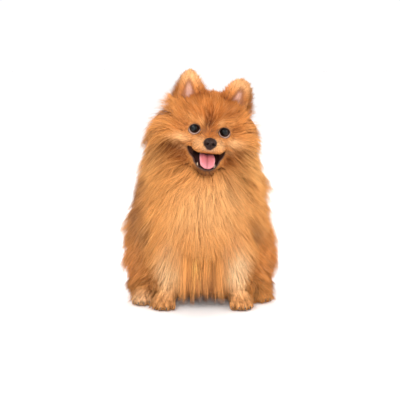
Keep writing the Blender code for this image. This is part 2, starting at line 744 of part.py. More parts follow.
def lock_faces():
    """Each ring is joined to the next on both sides of its crest and across its flat underside."""
    faces = [(0, 2, 1)]
    for ring in range(len(RINGS) - 1):
        a, b = ring * LOCK_SIDES, (ring + 1) * LOCK_SIDES
        for edge in range(LOCK_SIDES):
            after = (edge + 1) % LOCK_SIDES
            faces += [(a + edge, a + after, b + after), (a + edge, b + after, b + edge)]
    last = (len(RINGS) - 1) * LOCK_SIDES
    faces += [(last + s, last + (s + 1) % LOCK_SIDES, last + LOCK_SIDES) for s in range(LOCK_SIDES)]
    return faces


def grow_locks(node, name, others, draw):
    """Fuses locks with the node, each clear of the other nodes, and returns a tree of them."""
    roots, normals, depth = pick_roots(node, name, draw)
    sway = draw.normal(0, SWAY, (len(roots), 3))
    faces = lock_faces()
    waiting = np.arange(len(roots))
    made = []
    for lift, shrink in LOCK_TRIES:
        if not len(waiting):
            break
        start = roots[waiting], normals[waiting], depth[waiting], sway[waiting]
        rings = lock_rings(*start, name, lift, shrink)
        left = []
        for index, spine, tops, length in zip(waiting, *rings):
            wide = lock_points(spine, tops, length, LOCK_CLEARANCE)
            tree = BVHTree.FromPolygons([tuple(p) for p in wide], faces)
            low = min(p[2] for p in wide) < LOWEST_LOCK
            if low or any(tree.overlap(other) for other in others):
                left.append(index)
            else:
                made.append(add_object("lock", lock_points(spine, tops, length), faces))
        waiting = np.array(left, dtype=int)
    corners, triangles = [], []
    for lock in made:
        base = len(corners)
        corners += [v.co.copy() for v in lock.data.vertices]
        triangles += [tuple(base + i for i in p.vertices) for p in lock.data.polygons]
    boolean(node, "UNION", made, "MANIFOLD")
    return BVHTree.FromPolygons(corners, triangles)


# The nodes that carry locks, from the coat that hangs over the others to the one under them
LONG_COATED = (
    "head", "neck", "torso", "tail", "hind_leg_right", "hind_leg_left", "foreleg_right", "foreleg_left",
)


def grow_coat(nodes):
    graph = bpy.context.evaluated_depsgraph_get()
    trees = {name: BVHTree.FromObject(node, graph) for name, node in nodes.items()}
    grown = []
    for number, name in enumerate(LONG_COATED):
        others = [tree for other, tree in trees.items() if other != name] + grown
        grown.append(grow_locks(nodes[name], name, others, np.random.default_rng(number)))


# The first word of a node's name, its colour and its roughness; the rest have the coat's
FINISHES = {
    "nose": ("nose", 0.35), "tongue": ("tongue", 0.30), "eye": ("eye", 0.08), "ear": ("ear", 0.80),
    "forepaw": ("paw", 0.75), "hind_paw": ("paw", 0.75), "neck": ("pale coat", 0.80),
}


def main():
    clear_scene()
    nodes = make_cores()
    grow_coat(nodes)
    for name, node in nodes.items():
        finish(node, *FINISHES.get(name.rsplit("_", 1)[0], ("coat", 0.80)))


main()
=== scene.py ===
# A life-size pomeranian that sits facing the camera with its mouth open and its tongue out.
# Everything is in metres in the frame of the solids: the dog faces -Y, its left side is at +X,
# and the floor is at z = 0.

import json
import math

import bpy
import numpy as np
from mathutils import Euler, Matrix, Vector
from mathutils.kdtree import KDTree

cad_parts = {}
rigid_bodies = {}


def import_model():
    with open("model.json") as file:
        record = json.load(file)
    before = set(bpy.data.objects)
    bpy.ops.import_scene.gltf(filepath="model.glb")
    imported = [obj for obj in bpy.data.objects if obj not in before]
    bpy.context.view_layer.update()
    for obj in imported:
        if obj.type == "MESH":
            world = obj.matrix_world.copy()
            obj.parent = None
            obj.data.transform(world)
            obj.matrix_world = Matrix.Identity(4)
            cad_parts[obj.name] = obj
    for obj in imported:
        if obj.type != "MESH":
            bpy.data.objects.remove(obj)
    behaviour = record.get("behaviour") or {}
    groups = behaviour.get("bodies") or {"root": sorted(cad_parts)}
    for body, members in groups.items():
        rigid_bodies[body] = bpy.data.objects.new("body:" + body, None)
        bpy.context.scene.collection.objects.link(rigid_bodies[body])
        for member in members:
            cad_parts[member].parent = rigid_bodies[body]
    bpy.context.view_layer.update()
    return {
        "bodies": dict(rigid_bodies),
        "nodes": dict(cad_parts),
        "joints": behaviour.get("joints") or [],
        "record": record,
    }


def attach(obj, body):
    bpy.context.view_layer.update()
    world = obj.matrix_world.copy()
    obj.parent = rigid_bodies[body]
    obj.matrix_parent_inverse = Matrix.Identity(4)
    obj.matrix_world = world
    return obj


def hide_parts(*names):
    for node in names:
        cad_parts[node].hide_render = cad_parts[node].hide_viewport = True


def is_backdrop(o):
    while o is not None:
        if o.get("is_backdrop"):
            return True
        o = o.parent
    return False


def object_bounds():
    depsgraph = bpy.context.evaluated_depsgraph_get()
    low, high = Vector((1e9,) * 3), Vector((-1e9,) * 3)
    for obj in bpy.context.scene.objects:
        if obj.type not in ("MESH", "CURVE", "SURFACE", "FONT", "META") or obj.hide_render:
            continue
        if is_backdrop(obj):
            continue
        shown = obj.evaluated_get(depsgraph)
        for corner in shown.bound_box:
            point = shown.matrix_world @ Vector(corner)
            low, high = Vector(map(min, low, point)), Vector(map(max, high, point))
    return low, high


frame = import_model()
bpy.ops.object.select_all(action="DESELECT")

# Flesh
# The dog without its coat: trunk, legs, tail and head are ellipsoids of muscle that run softly
# into each other. Each also says how deep the coat is that grows on it.

BODY = Matrix.Identity(4)
HEAD_PLACE = Vector((0.0132, -0.184, 0.2622))
HEAD_TURN = Euler((0, math.radians(7.8), math.radians(5.0)))
HEAD = Matrix.Translation(HEAD_PLACE) @ HEAD_TURN.to_matrix().to_4x4()

# How softly an ellipsoid runs into those before it
BODY_BLEND = 0.014
FACE_BLEND = 0.007
LID_BLEND = 0.0030
PAW_BLEND = 0.0030


class Form:
    """An ellipsoid of flesh, with the depth of the coat on it."""

    def __init__(self, centre, radii, coat=0.0, tilt=(0, 0, 0), frame=BODY, blend=None):
        turn = frame.to_3x3() @ Euler([math.radians(a) for a in tilt]).to_matrix()
        self.centre = np.array(frame @ Vector(centre))
        self.radii = np.array(radii)
        self.coat = coat
        self.turn = np.array(turn)
        self.blend = blend or (BODY_BLEND if frame == BODY else FACE_BLEND)


def mirrored(centre, radii, coat=0.0, tilt=(0, 0, 0), frame=BODY, blend=None):
    """The same form on the dog's right (-X) and left (+X) side."""
    other = (-centre[0], centre[1], centre[2])
    right = Form(other, radii, coat, (tilt[0], -tilt[1], -tilt[2]), frame, blend)
    return right, Form(centre, radii, coat, tilt, frame, blend)


RUMP = Form((0, 0, 0.056), (0.046, 0.046, 0.056), 0.034)
LOIN = Form((0, -0.036, 0.098), (0.049, 0.050, 0.060), 0.046, (-20, 0, 0))
RIBS = Form((0, -0.086, 0.135), (0.053, 0.052, 0.068), 0.055, (-25, 0, 0))
CHEST = Form((0, -0.118, 0.150), (0.046, 0.038, 0.052), 0.048, (-10, 0, 0))
NECK = Form((0.003, -0.112, 0.208), (0.040, 0.042, 0.050), 0.052, (25, 0, 0))
TAIL = Form((0, 0.040, 0.132), (0.013, 0.015, 0.066), 0.044, (12, 0, 0))
THIGHS = mirrored((0.062, -0.036, 0.062), (0.026, 0.052, 0.050), 0.034, (-20, 0, -8))
HOCKS = mirrored((0.080, -0.070, 0.017), (0.014, 0.048, 0.015), 0.012, (0, 0, -6))
FOREARMS = (
    Form((-0.043, -0.148, 0.070), (0.0135, 0.0155, 0.062), 0.008, (6, 4, 0)),
    Form((0.050, -0.148, 0.070), (0.0135, 0.0155, 0.062), 0.008, (6, -4, 0)),
)
SKULL = Form((0, 0.030, 0.013), (0.034, 0.036, 0.030), 0.016, frame=HEAD)
BROW = Form((0, 0.012, 0.013), (0.028, 0.018, 0.017), 0.004, frame=HEAD)
CHEEKS = mirrored((0.024, 0.016, -0.011), (0.014, 0.022, 0.015), 0.006, frame=HEAD)
JOWLS = mirrored((0.040, 0.050, -0.014), (0.016, 0.024, 0.028), 0.036, frame=HEAD)
THROAT = Form((0, 0.046, -0.022), (0.030, 0.026, 0.026), 0.022, frame=HEAD)
STOP = Form((0, -0.003, -0.0005), (0.0112, 0.0145, 0.0088), 0.004, (-25, 0, 0), HEAD)
MUZZLE = Form((0, -0.012, -0.017), (0.0165, 0.024, 0.012), 0.002, (8, 0, 0), HEAD)
LIPS = mirrored((0.0105, -0.013, -0.0200), (0.0110, 0.020, 0.0088), 0.002, (6, 0, 16), HEAD)
CHIN = Form((0, -0.0065, -0.0435), (0.0165, 0.0265, 0.0095), 0.004, (36, 0, 0), HEAD)
GULLET = Form((0, 0.020, -0.036), (0.025, 0.020, 0.017), 0.008, frame=HEAD)
JAW_SIDES = mirrored((0.0200, 0.002, -0.0380), (0.0080, 0.025, 0.0090), 0.003, (24, 0, -24), HEAD)

EYE_SPREAD = 0.0215
EYE_DEPTH = 0.0030
EYE_RADIUS = 0.00915
LID_RADIUS = 0.0107
LIDS = mirrored((EYE_SPREAD, EYE_DEPTH, 0), (LID_RADIUS,) * 3, 0.0005, (0, 0, 0), HEAD, LID_BLEND)

# Each paw's place on the floor, its turn in degrees and its size
PAWS = {
    "hind_paw_right": ((-0.084, -0.128, 0), -6, 0.92), "hind_paw_left": ((0.090, -0.108, 0), 8, 0.92),
    "forepaw_right": ((-0.0515, -0.160, 0), -3, 1.0), "forepaw_left": ((0.0590, -0.160, 0), 4, 1.0),
}
# Each toe's place across and ahead in its paw, and how far it turns out in degrees
TOES = ((-0.0112, -0.0085, -10), (-0.0040, -0.0145, -3), (0.0040, -0.0145, 3), (0.0112, -0.0085, 10))
TOE = np.array((0.0052, 0.0105, 0.0080))
TOE_HEIGHT = 0.0072
PAD = np.array((0.0155, 0.0180, 0.0140))
PAW_COAT = 0.0012


def paw_forms(place, turn, size):
    """A pad and four toes that spread a little, under their short coat."""
    frame = Matrix.Translation(place) @ Matrix.Rotation(math.radians(turn), 4, "Z")
    forms = [Form((0, 0.006, 0.0120), PAD * size - PAW_COAT, PAW_COAT, (0, 0, 0), frame, PAW_BLEND)]
    for across, ahead, spread in TOES:
        centre = (across * size, ahead * size, TOE_HEIGHT)
        forms.append(Form(centre, TOE * size - PAW_COAT, PAW_COAT, (14, 0, spread), frame, PAW_BLEND))
    return forms


TRUNK = (RUMP, LOIN, RIBS, CHEST, NECK)
BODY_FORMS = (*TRUNK, TAIL, *THIGHS, *HOCKS, *FOREARMS)
HEAD_FORMS = (SKULL, BROW, THROAT, STOP, MUZZLE, *CHEEKS, *JOWLS, *LIPS, *LIDS)
JAW_FORMS = (CHIN, GULLET, *JAW_SIDES)
PAW_FORMS = {name: paw_forms(*facts) for name, facts in PAWS.items()}
EVERY_PAW_FORM = tuple(form for forms in PAW_FORMS.values() for form in forms)
EVERY_FORM = (*BODY_FORMS, *HEAD_FORMS, *JAW_FORMS, *EVERY_PAW_FORM)


def field(points, forms=EVERY_FORM, share=0.0):
    """How far points stand off the forms once that share of the coat is on them, and which way is out."""
    share = np.broadcast_to(share, len(points))[:, None]
    total = out = None
    for form in forms:
        local = (points - form.centre) @ form.turn
        radii = form.radii + share * form.coat
        slope = local / radii**2
        steep = np.linalg.norm(slope, axis=1) + 1e-9
        scaled = np.linalg.norm(local / radii, axis=1)
        depth = scaled * (scaled - 1) / steep
        away = (slope / steep[:, None]) @ form.turn.T
        if total is None:
            total, out = depth, away
            continue
        mix = np.clip(0.5 + 0.5 * (depth - total) / form.blend, 0, 1)
        total = depth * (1 - mix) + total * mix - form.blend * mix * (1 - mix)
        out = away * (1 - mix[:, None]) + out * mix[:, None]
    return total, unit(out)


def unit(vectors):
    return vectors / (np.linalg.norm(vectors, axis=-1, keepdims=True) + 1e-12)


def choose(*pieces):
    """Selects these pieces and nothing else; the last one is active."""
    bpy.ops.object.select_all(action="DESELECT")
    for piece in pieces:
        piece.select_set(True)
    bpy.context.view_layer.objects.active = pieces[-1]
    return pieces[-1]


def settled():
    """Applies the active object's place, turn and size to its mesh."""
    bpy.ops.object.transform_apply(location=True, rotation=True, scale=True)
    return bpy.context.object


def joined(name, pieces):
    piece = choose(*pieces)
    if len(pieces) > 1:
        bpy.ops.object.join()
    piece.name = piece.data.name = name
    return piece


def applied(piece, kind, **settings):
    """Adds a modifier with these settings and applies it."""
    choose(piece)
    modifier = piece.modifiers.new(kind, kind)
    for setting, value in settings.items():
        setattr(modifier, setting, value)
    bpy.ops.object.modifier_apply(modifier=modifier.name)
    return piece


def ellipsoid(form, grow=0.0, segments=32, rings=20):
    """A ball added at the form's place, size and turn."""
    turn = Matrix(form.turn.tolist()).to_euler()
    bpy.ops.mesh.primitive_uv_sphere_add(
        segments=segments, ring_count=rings, location=form.centre, rotation=turn,
        scale=tuple(form.radii + grow),
    )
    return settled()


def corners_of(piece):
    points = np.empty(len(piece.data.vertices) * 3)
    piece.data.vertices.foreach_get("co", points)
    return points.reshape(-1, 3)


def reshape(piece, points):
    piece.data.vertices.foreach_set("co", np.ascontiguousarray(points, dtype=np.float32).ravel())
    piece.data.update()


def flesh(name, forms, voxel, rounds=5):
    """Balls joined and remeshed into one surface, which is then drawn onto their soft blend."""
    piece = joined(name, [ellipsoid(form, 0.0006) for form in forms])
    applied(piece, "REMESH", mode="VOXEL", voxel_size=voxel)
    points = corners_of(piece)
    for _ in range(rounds):
        depth, out = field(points, forms)
        points = points - out * (0.9 * depth)[:, None]
    reshape(piece, points)
    return piece


def in_order(piece):
    """Sorts the faces, because the solver leaves them in another order on every run."""
    faces = []
    for polygon in piece.data.polygons:
        around = list(polygon.vertices)
        first = around.index(min(around))
        faces.append(around[first:] + around[:first])
    mesh = bpy.data.meshes.new(piece.name)
    mesh.from_pydata(corners_of(piece), [], sorted(faces))
    piece.data = mesh
    return piece


def cut(piece, operation, *tools):
    """Fuses or cuts the piece with closed tools, one after the other, which are then removed."""
    for tool in tools:
        applied(piece, "BOOLEAN", operation=operation, solver="MANIFOLD", object=tool)
        bpy.data.objects.remove(tool)
    return in_order(piece)


# Face and mouth
# The eyelids close round each eyeball and leave an almond-shaped opening. The mouth is open in a
# wide smile: its roof is cut from the head, and the jaw is a trough under the tongue.

LID_OPENING = (0.0085, 0.0130, 0.0071)
LID_OPENING_AHEAD = (0.0001, EYE_DEPTH - 0.0140, 0.0001)
ROOF_OF_MOUTH = Form((0, -0.0040, -0.0355), (0.0200, 0.0300, 0.0095), 0, (20, 0, 0), HEAD)
HOLLOW_OF_JAW = Form((0, -0.0050, -0.0360), (0.0195, 0.0280, 0.0105), 0, (34, 0, 0), HEAD)
# The opening on each side runs back and up to the corner of the mouth
CORNERS = mirrored((0.0212, -0.002, -0.0296), (0.0070, 0.033, 0.0042), 0, (28, 0, -29), HEAD)
CORNER_TAPER = 0.75
LIP_GROOVE = Form((0, -0.0365, -0.0255), (0.0008, 0.0050, 0.0060), 0, (0, 0, 0), HEAD)


def drawn_out(local, form):
    """How much slimmer a corner of the mouth is there than its ball: it ends in a point."""
    return 1 - CORNER_TAPER * np.clip(0.15 + local[:, 1] / form.radii[1], 0, 1)


def corner_cutter(form):
    tool = ellipsoid(form, 0, 40, 40)
    local = (corners_of(tool) - form.centre) @ form.turn
    local[:, [0, 2]] *= drawn_out(local, form)[:, None]
    reshape(tool, local @ form.turn.T + form.centre)
    return tool


openings = []
for side in (-1, 1):
    place = (side * (EYE_SPREAD + LID_OPENING_AHEAD[0]), *LID_OPENING_AHEAD[1:])
    openings.append(Form(place, LID_OPENING, 0, (0, side * 6, 0), HEAD))
sockets = mirrored((EYE_SPREAD, EYE_DEPTH, 0), (EYE_RADIUS + 0.0002,) * 3, 0, (0, 0, 0), HEAD)

head = flesh("head_flesh", HEAD_FORMS, 0.00125)
jaw = flesh("jaw_flesh", JAW_FORMS, 0.00125)
cut(head, "DIFFERENCE", *[ellipsoid(form, 0, 48, 32) for form in (*openings, *sockets)])
cut(head, "DIFFERENCE", ellipsoid(ROOF_OF_MOUTH, 0, 56, 36), ellipsoid(LIP_GROOVE))
cut(head, "DIFFERENCE", *map(corner_cutter, CORNERS))
cut(jaw, "DIFFERENCE", ellipsoid(HOLLOW_OF_JAW, 0, 56, 36))
cut(jaw, "DIFFERENCE", *map(corner_cutter, CORNERS))

# Ears
# Each pricked ear is a leaf of gristle that is cupped to the front. It is a flat grid bent into
# the leaf's outline, given its thickness and rounded.

EARS = {"right": (-0.0285, -6.5, 0.0485), "left": (0.0300, 13, 0.0455)}
EAR_ROOT = (0.030, 0.032)
EAR_TURN = 24
EAR_LEAN_BACK = -7
EAR_CUP = 0.0085
EAR_THICKNESS = 0.0030
EAR_SUNK = 0.014
# Half the ear's width at even steps from its root to its tip
EAR_WIDTHS = {
    "right": (0.0210, 0.0212, 0.0202, 0.0182, 0.0150, 0.0110, 0.0060),
    "left": (0.0210, 0.0216, 0.0212, 0.0202, 0.0184, 0.0152, 0.0095),
}


def ear_frame(side_name):
    """The ear's own frame: x across, y from front to back, z from root to tip."""
    across, lean, _ = EARS[side_name]
    side = math.copysign(1, across)
    frame = HEAD @ Matrix.Translation((across, *EAR_ROOT))
    frame = frame @ Matrix.Rotation(math.radians(lean), 4, "Y")
    frame = frame @ Matrix.Rotation(math.radians(side * EAR_TURN), 4, "Z")
    return frame @ Matrix.Rotation(math.radians(-EAR_LEAN_BACK), 4, "X")


def half_of_ear(side_name, along):
    widths = EAR_WIDTHS[side_name]
    return np.interp(along, np.linspace(0, 1, len(widths)), widths)


def ear(side_name):
    height = EARS[side_name][2]
    bpy.ops.mesh.primitive_grid_add(x_subdivisions=24, y_subdivisions=28, size=2)
    leaf = settled()
    points = corners_of(leaf)
    across, along = points[:, 0], (points[:, 1] + 1) / 2
    half = half_of_ear(side_name, along) - 0.0010
    cup = EAR_CUP * (1 - 0.7 * along) * across**2
    tip = 0.0040 * across**2 * along**6
    up = height * along**0.92 - EAR_SUNK * (1 - along)**3 - tip - 0.0010
    local = np.stack([half * across, 0.0014 - cup, up], axis=1)
    matrix = np.array(ear_frame(side_name))
    reshape(leaf, local @ matrix[:3, :3].T + matrix[:3, 3])
    leaf.name = "ear_flesh"
    applied(leaf, "SOLIDIFY", thickness=EAR_THICKNESS, offset=0.0)
    applied(leaf, "REMESH", mode="VOXEL", voxel_size=0.0010)
    return applied(leaf, "SMOOTH", factor=0.5, iterations=2)


# Skin
# One skin covers the head, trunk, legs, paws, ears and tail, so that no seam shows. It lies
# inside the solids by the depth of their core, and the coat grows on it.

skin = flesh("skin", BODY_FORMS, 0.0030)
paws = [flesh(name + "_flesh", forms, 0.0012) for name, forms in PAW_FORMS.items()]
cut(skin, "UNION", *paws, head, jaw, ear("right"), ear("left"))
bpy.ops.object.select_all(action="DESELECT")

# Skin's colour
# The coat is golden orange, redder on the head, pale on the chest, forelegs and cheeks, and
# sable over the shoulders and back. Skin and coat take their colour from the same markings,
# and a few of these marks are painted shade: in the hollows beside the forelegs and haunches,
# and partly under the chin, the jaw and the belly.

GOLD = (0.77, 0.325, 0.093)
RED = (0.37, 0.090, 0.014)
PALE = (0.84, 0.445, 0.185)
SABLE = (0.17, 0.057, 0.026)
BROWN = (0.17, 0.050, 0.014)
# Dun of the belly, partly painted shade under the chest
DUN_AND_SHADE = (0.27, 0.10, 0.044)
BLACK_SKIN = (0.024, 0.012, 0.010)
PINK_SKIN = (0.60, 0.33, 0.27)
MOUTH_SKIN = (0.045, 0.017, 0.014)
LIP_SKIN = (0.026, 0.012, 0.010)
LID_EDGE = (0.44, 0.27, 0.21)

# Each marking's centre, radii, colour and strength; on the body, then in the head's frame
BODY_MARKS_AND_SHADE = (
    ((0.000, -0.030, 0.180), (0.075, 0.070, 0.090), (0.48, 0.18, 0.060), 0.70),
    ((0.020, -0.180, 0.160), (0.060, 0.040, 0.034), PALE, 0.90),
    ((0.000, -0.185, 0.118), (0.050, 0.050, 0.026), PALE, 0.60),
    ((0.004, -0.185, 0.086), (0.060, 0.050, 0.018), (0.72, 0.29, 0.080), 0.85),
    # Golden rather than pale under the chin: partly the coat's own colour, partly painted shade under the head
    ((0.008, -0.195, 0.193), (0.034, 0.030, 0.012), (0.78, 0.33, 0.100), 0.75),
    ((-0.093, -0.085, 0.137), (0.026, 0.062, 0.044), SABLE, 0.95),
    ((-0.094, -0.050, 0.050), (0.035, 0.070, 0.050), (0.56, 0.185, 0.050), 0.80),
    ((0.098, -0.050, 0.050), (0.035, 0.070, 0.050), (0.61, 0.195, 0.044), 0.80),
    # Painted shade: dark patches in the hollows between the chest and each haunch
    ((-0.083, -0.118, 0.090), (0.016, 0.050, 0.021), (0.11, 0.034, 0.010), 0.90),
    ((0.087, -0.118, 0.098), (0.014, 0.045, 0.024), (0.17, 0.052, 0.014), 0.85),
    # Darker under the belly between the legs: partly the coat's own colour, partly painted shade under the chest
    ((0.003, -0.125, 0.022), (0.036, 0.095, 0.033), DUN_AND_SHADE, 0.97),
    ((-0.047, -0.162, 0.055), (0.020, 0.030, 0.040), (0.95, 0.58, 0.30), 0.95),
    ((0.055, -0.162, 0.057), (0.021, 0.030, 0.040), (0.95, 0.60, 0.33), 0.98),
    # Painted shade: dark strips in the recess between each foreleg's outer edge and the haunch
    ((-0.074, -0.125, 0.055), (0.0075, 0.030, 0.032), BROWN, 0.75),
    ((0.083, -0.125, 0.055), (0.0075, 0.030, 0.032), BROWN, 0.75),
    ((-0.052, -0.172, 0.008), (0.025, 0.026, 0.013), (0.66, 0.30, 0.110), 0.90),
    ((-0.090, -0.150, 0.010), (0.020, 0.030, 0.014), (0.88, 0.52, 0.280), 0.85),
    ((0.059, -0.172, 0.008), (0.025, 0.026, 0.013), (0.66, 0.30, 0.110), 0.90),
    ((0.078, -0.125, 0.206), (0.034, 0.060, 0.036), (0.93, 0.46, 0.150), 0.85),
    ((-0.080, -0.125, 0.205), (0.026, 0.050, 0.028), (0.88, 0.43, 0.150), 0.70),
    ((0.000, 0.060, 0.150), (0.035, 0.035, 0.075), PALE, 0.35),
)
HEAD_MARKS = (
    ((0, 0.022, 0.012), (0.062, 0.075, 0.060), RED, 0.90),
    ((-0.002, 0.010, 0.036), (0.0034, 0.024, 0.018), (0.24, 0.055, 0.011), 0.55),
    ((-0.0015, -0.004, 0.021), (0.0085, 0.016, 0.0100), (0.19, 0.042, 0.008), 0.75),
    ((-0.0030, -0.009, 0.0105), (0.0082, 0.016, 0.0090), (0.065, 0.013, 0.003), 0.97),
    ((0, -0.036, -0.0240), (0.0120, 0.012, 0.0050), (0.74, 0.48, 0.300), 0.60),
    ((-0.052, 0.042, -0.0305), (0.0215, 0.044, 0.0155), (0.080, 0.014, 0.002), 0.96),
    ((0.050, 0.038, -0.0240), (0.0145, 0.040, 0.0115), (0.12, 0.022, 0.003), 0.90),
    ((-0.060, 0.055, 0.0200), (0.0130, 0.040, 0.0100), (0.16, 0.038, 0.006), 0.75),
    ((-0.001, -0.019, -0.003), (0.0068, 0.014, 0.0070), (0.40, 0.125, 0.030), 0.65),
    ((0, -0.018, -0.056), (0.0210, 0.024, 0.0115), (0.085, 0.020, 0.005), 0.97),
)
PAIRED_HEAD_MARKS_AND_SHADE = (
    ((0.0215, -0.004, 0.001), (0.0150, 0.016, 0.0135), (0.64, 0.27, 0.085), 0.70),
    ((0.0135, -0.004, 0.0125), (0.0046, 0.014, 0.0060), (0.74, 0.38, 0.140), 0.80),
    ((0.028, 0.002, 0.0150), (0.0100, 0.016, 0.0055), (0.66, 0.28, 0.085), 0.70),
    ((0.0150, -0.026, -0.0165), (0.0105, 0.018, 0.0095), (0.82, 0.42, 0.180), 0.90),
    ((0.036, 0.008, -0.0145), (0.0150, 0.020, 0.0070), (0.88, 0.49, 0.220), 0.92),
    ((0.035, 0.010, -0.0285), (0.0105, 0.016, 0.0038), (0.86, 0.44, 0.190), 0.75),
    ((0.0375, 0.009, 0.0040), (0.0085, 0.014, 0.0020), (0.16, 0.038, 0.010), 0.85),
    ((0.060, 0.046, -0.0110), (0.0130, 0.026, 0.0095), (0.32, 0.080, 0.014), 0.75),
    # Darker reddish under the sides of the jaw: partly the coat's own colour, partly painted shade under the cheeks
    ((0.037, 0.016, -0.0440), (0.0230, 0.036, 0.0150), (0.20, 0.042, 0.006), 0.90),
    ((0.0345, 0.004, -0.0225), (0.0065, 0.012, 0.0022), (0.13, 0.032, 0.009), 0.90),
    ((0.0215, 0.018, 0.0505), (0.0110, 0.020, 0.0085), (0.30, 0.072, 0.014), 0.80),
)
HEAD_AXES = np.array(HEAD.to_3x3())


def in_head(points):
    return (points - np.array(HEAD_PLACE)) @ HEAD_AXES


def marks_and_shade(points):
    """The colour of the coat and of the skin under it at these points, with the painted shade of a few marks."""
    colour = np.tile(GOLD, (len(points), 1))
    local = in_head(points)
    mirrored_local = local * (-1, 1, 1)
    layers = [(points, BODY_MARKS_AND_SHADE), (local, HEAD_MARKS)]
    layers += [(local, PAIRED_HEAD_MARKS_AND_SHADE), (mirrored_local, PAIRED_HEAD_MARKS_AND_SHADE)]
    for place, markings in layers:
        for centre, radii, tint, strength in markings:
            share = strength * np.exp(-(((place - centre) / radii)**2).sum(1)**1.5)
            colour += share[:, None] * (np.array(tint) - colour)
    return colour


def within(points, form, grow=0.0):
    """Distance from the form's centre as a share of its radii, which are grown first."""
    return np.linalg.norm(((points - form.centre) @ form.turn) / (form.radii + grow), axis=1)


def away_from(points, others):
    """How far each point is from the nearest of the others."""
    tree = KDTree(len(others))
    for index, other in enumerate(others):
        tree.insert(other, index)
    tree.balance()
    return np.array([tree.find(point)[2] for point in points])


def paint(piece, name, values):
    """Stores a colour or a number at each of the mesh's points."""
    kind, field_name = ("FLOAT_COLOR", "color") if values.ndim == 2 else ("FLOAT", "value")
    if values.ndim == 2:
        values = np.hstack([values, np.ones((len(values), 1))])
    layer = piece.data.attributes.new(name, kind, "POINT")
    layer.data.foreach_set(field_name, np.ascontiguousarray(values, dtype=np.float32).ravel())


def within_mouth(points):
    """How near the mouth's hollow points are: 1 on its walls, less inside it."""
    shares = [within(points, ROOF_OF_MOUTH), within(points, HOLLOW_OF_JAW)]
    for form in CORNERS:
        local = (points - form.centre) @ form.turn
        slim = drawn_out(local, form)[:, None]
        shares.append(np.linalg.norm(local / (form.radii * np.hstack([slim, slim**0, slim])), axis=1))
    return np.min(shares, axis=0)


def on_leaf(points, side_name):
    """Where points are on an ear: across it from its outer to its inner edge, along it from root
    to tip, whether they are on its front, and how near they are to the leaf at all."""
    matrix = np.array(ear_frame(side_name))
    local = (points - matrix[:3, 3]) @ matrix[:3, :3]
    along = np.clip(local[:, 2] / EARS[side_name][2], 0, 1)
    half = half_of_ear(side_name, along)
    across = -math.copysign(1, EARS[side_name][0]) * local[:, 0] / half
    behind = local[:, 1] - 0.0014 + EAR_CUP * (1 - 0.7 * along) * across**2
    near = (np.abs(across) < 1.15) & (np.abs(behind) < 0.006) & (local[:, 2] > -0.015)
    near &= local[:, 2] < EARS[side_name][2] + 0.003
    return np.clip(across, -1, 1), along, near & (behind < 0), near


def ear_cup(across, along):
    """How far a point of the ear's front is in its bare cup, which narrows upwards."""
    width = 0.13 + 0.45 * np.clip(0.85 - along, 0, 1)
    return np.exp(-(((along - 0.36) / 0.30)**4) - np.abs((across + 0.10) / width)**3)


NOSE_PAD = Form((0, -0.0350, -0.0158), (0.0066, 0.0062, 0.0086), 0, (0, 0, 0), HEAD, 0.004)
NOSE_WINGS = mirrored((0.0047, -0.0348, -0.0145), (0.0045, 0.0056, 0.0055), 0, (0, 0, 0), HEAD, 0.004)

points = corners_of(skin)
points[:, 2] = np.maximum(points[:, 2], 0.0003)
reshape(skin, points)
head_only = points[:, 2] > 0.17
mouth = head_only & (within_mouth(points) < 1.03)
near_mouth = head_only & (within(points, CHIN) < 4) & ~mouth
lip = np.zeros(len(points))
lip[near_mouth] = np.clip((0.0018 - away_from(points[near_mouth], points[mouth])) / 0.0010, 0, 1)
rim = np.zeros(len(points))
waterline = np.zeros(len(points))
low_on_head = np.clip((0.0005 - in_head(points)[:, 2]) / 0.002, 0, 1)
for opening, socket in zip(openings, sockets):
    near = within(points, socket) < 1.35
    off_opening = within(points, opening)
    reach = 1.15 + 0.15 * low_on_head
    rim = np.maximum(rim, near * np.clip((reach - off_opening) / 0.08, 0, 1))
    waterline = np.maximum(waterline, near * low_on_head * np.clip((1.15 - off_opening) / 0.05, 0, 1))
seat = np.min([within(points, form, 0.0008) for form in (NOSE_PAD, *NOSE_WINGS)], axis=0) < 1
pads = (points[:, 2] < 0.0016) & (field(points, EVERY_PAW_FORM)[0] < 0.002)

# Under the coat the skin takes the coat's colour, darkened: partly the undercoat's own tone, partly painted shade
# beneath the hair
tint = marks_and_shade(points) * 0.62
cup_of_ear = np.zeros(len(points))
for side in EARS:
    across, along, front, _ = on_leaf(points, side)
    cup_of_ear = np.maximum(cup_of_ear, front * ear_cup(across, along))
tint += (0.9 * cup_of_ear)[:, None] * (np.array(PINK_SKIN) - tint)
for mask, colour in ((pads, BLACK_SKIN), (rim, BLACK_SKIN), (waterline, LID_EDGE), (seat, BLACK_SKIN),
                     (lip, LIP_SKIN), (mouth, MOUTH_SKIN)):
    tint += np.multiply(mask, 1.0)[:, None] * (np.array(colour) - tint)
bare = np.maximum.reduce([pads, rim, seat, lip, mouth]).astype(float)
hair_free = np.full(len(points), 0.03)
hair_free[head_only] = away_from(points[head_only], points[(bare > 0.5) & head_only])
paint(skin, "tint", tint)
paint(skin, "bare", bare)


class Value:
    """A socket of a material, so that its maths reads as sums and products."""

    def __init__(self, tree, socket):
        self.tree = tree
        self.socket = socket

    def maths(self, operation, *inputs):
        made = self.tree.nodes.new("ShaderNodeMath")
        made.operation = operation
        for socket, value in zip(made.inputs, inputs):
            if isinstance(value, Value):
                self.tree.links.new(value.socket, socket)
            else:
                socket.default_value = value
        return Value(self.tree, made.outputs[0])

    def __add__(self, other):
        return self.maths("ADD", self, other)

    def __sub__(self, other):
        return self.maths("SUBTRACT", self, other)

    def __rsub__(self, other):
        return self.maths("SUBTRACT", other, self)

    def __mul__(self, other):
        return self.maths("MULTIPLY", self, other)

    __radd__ = __add__
    __rmul__ = __mul__


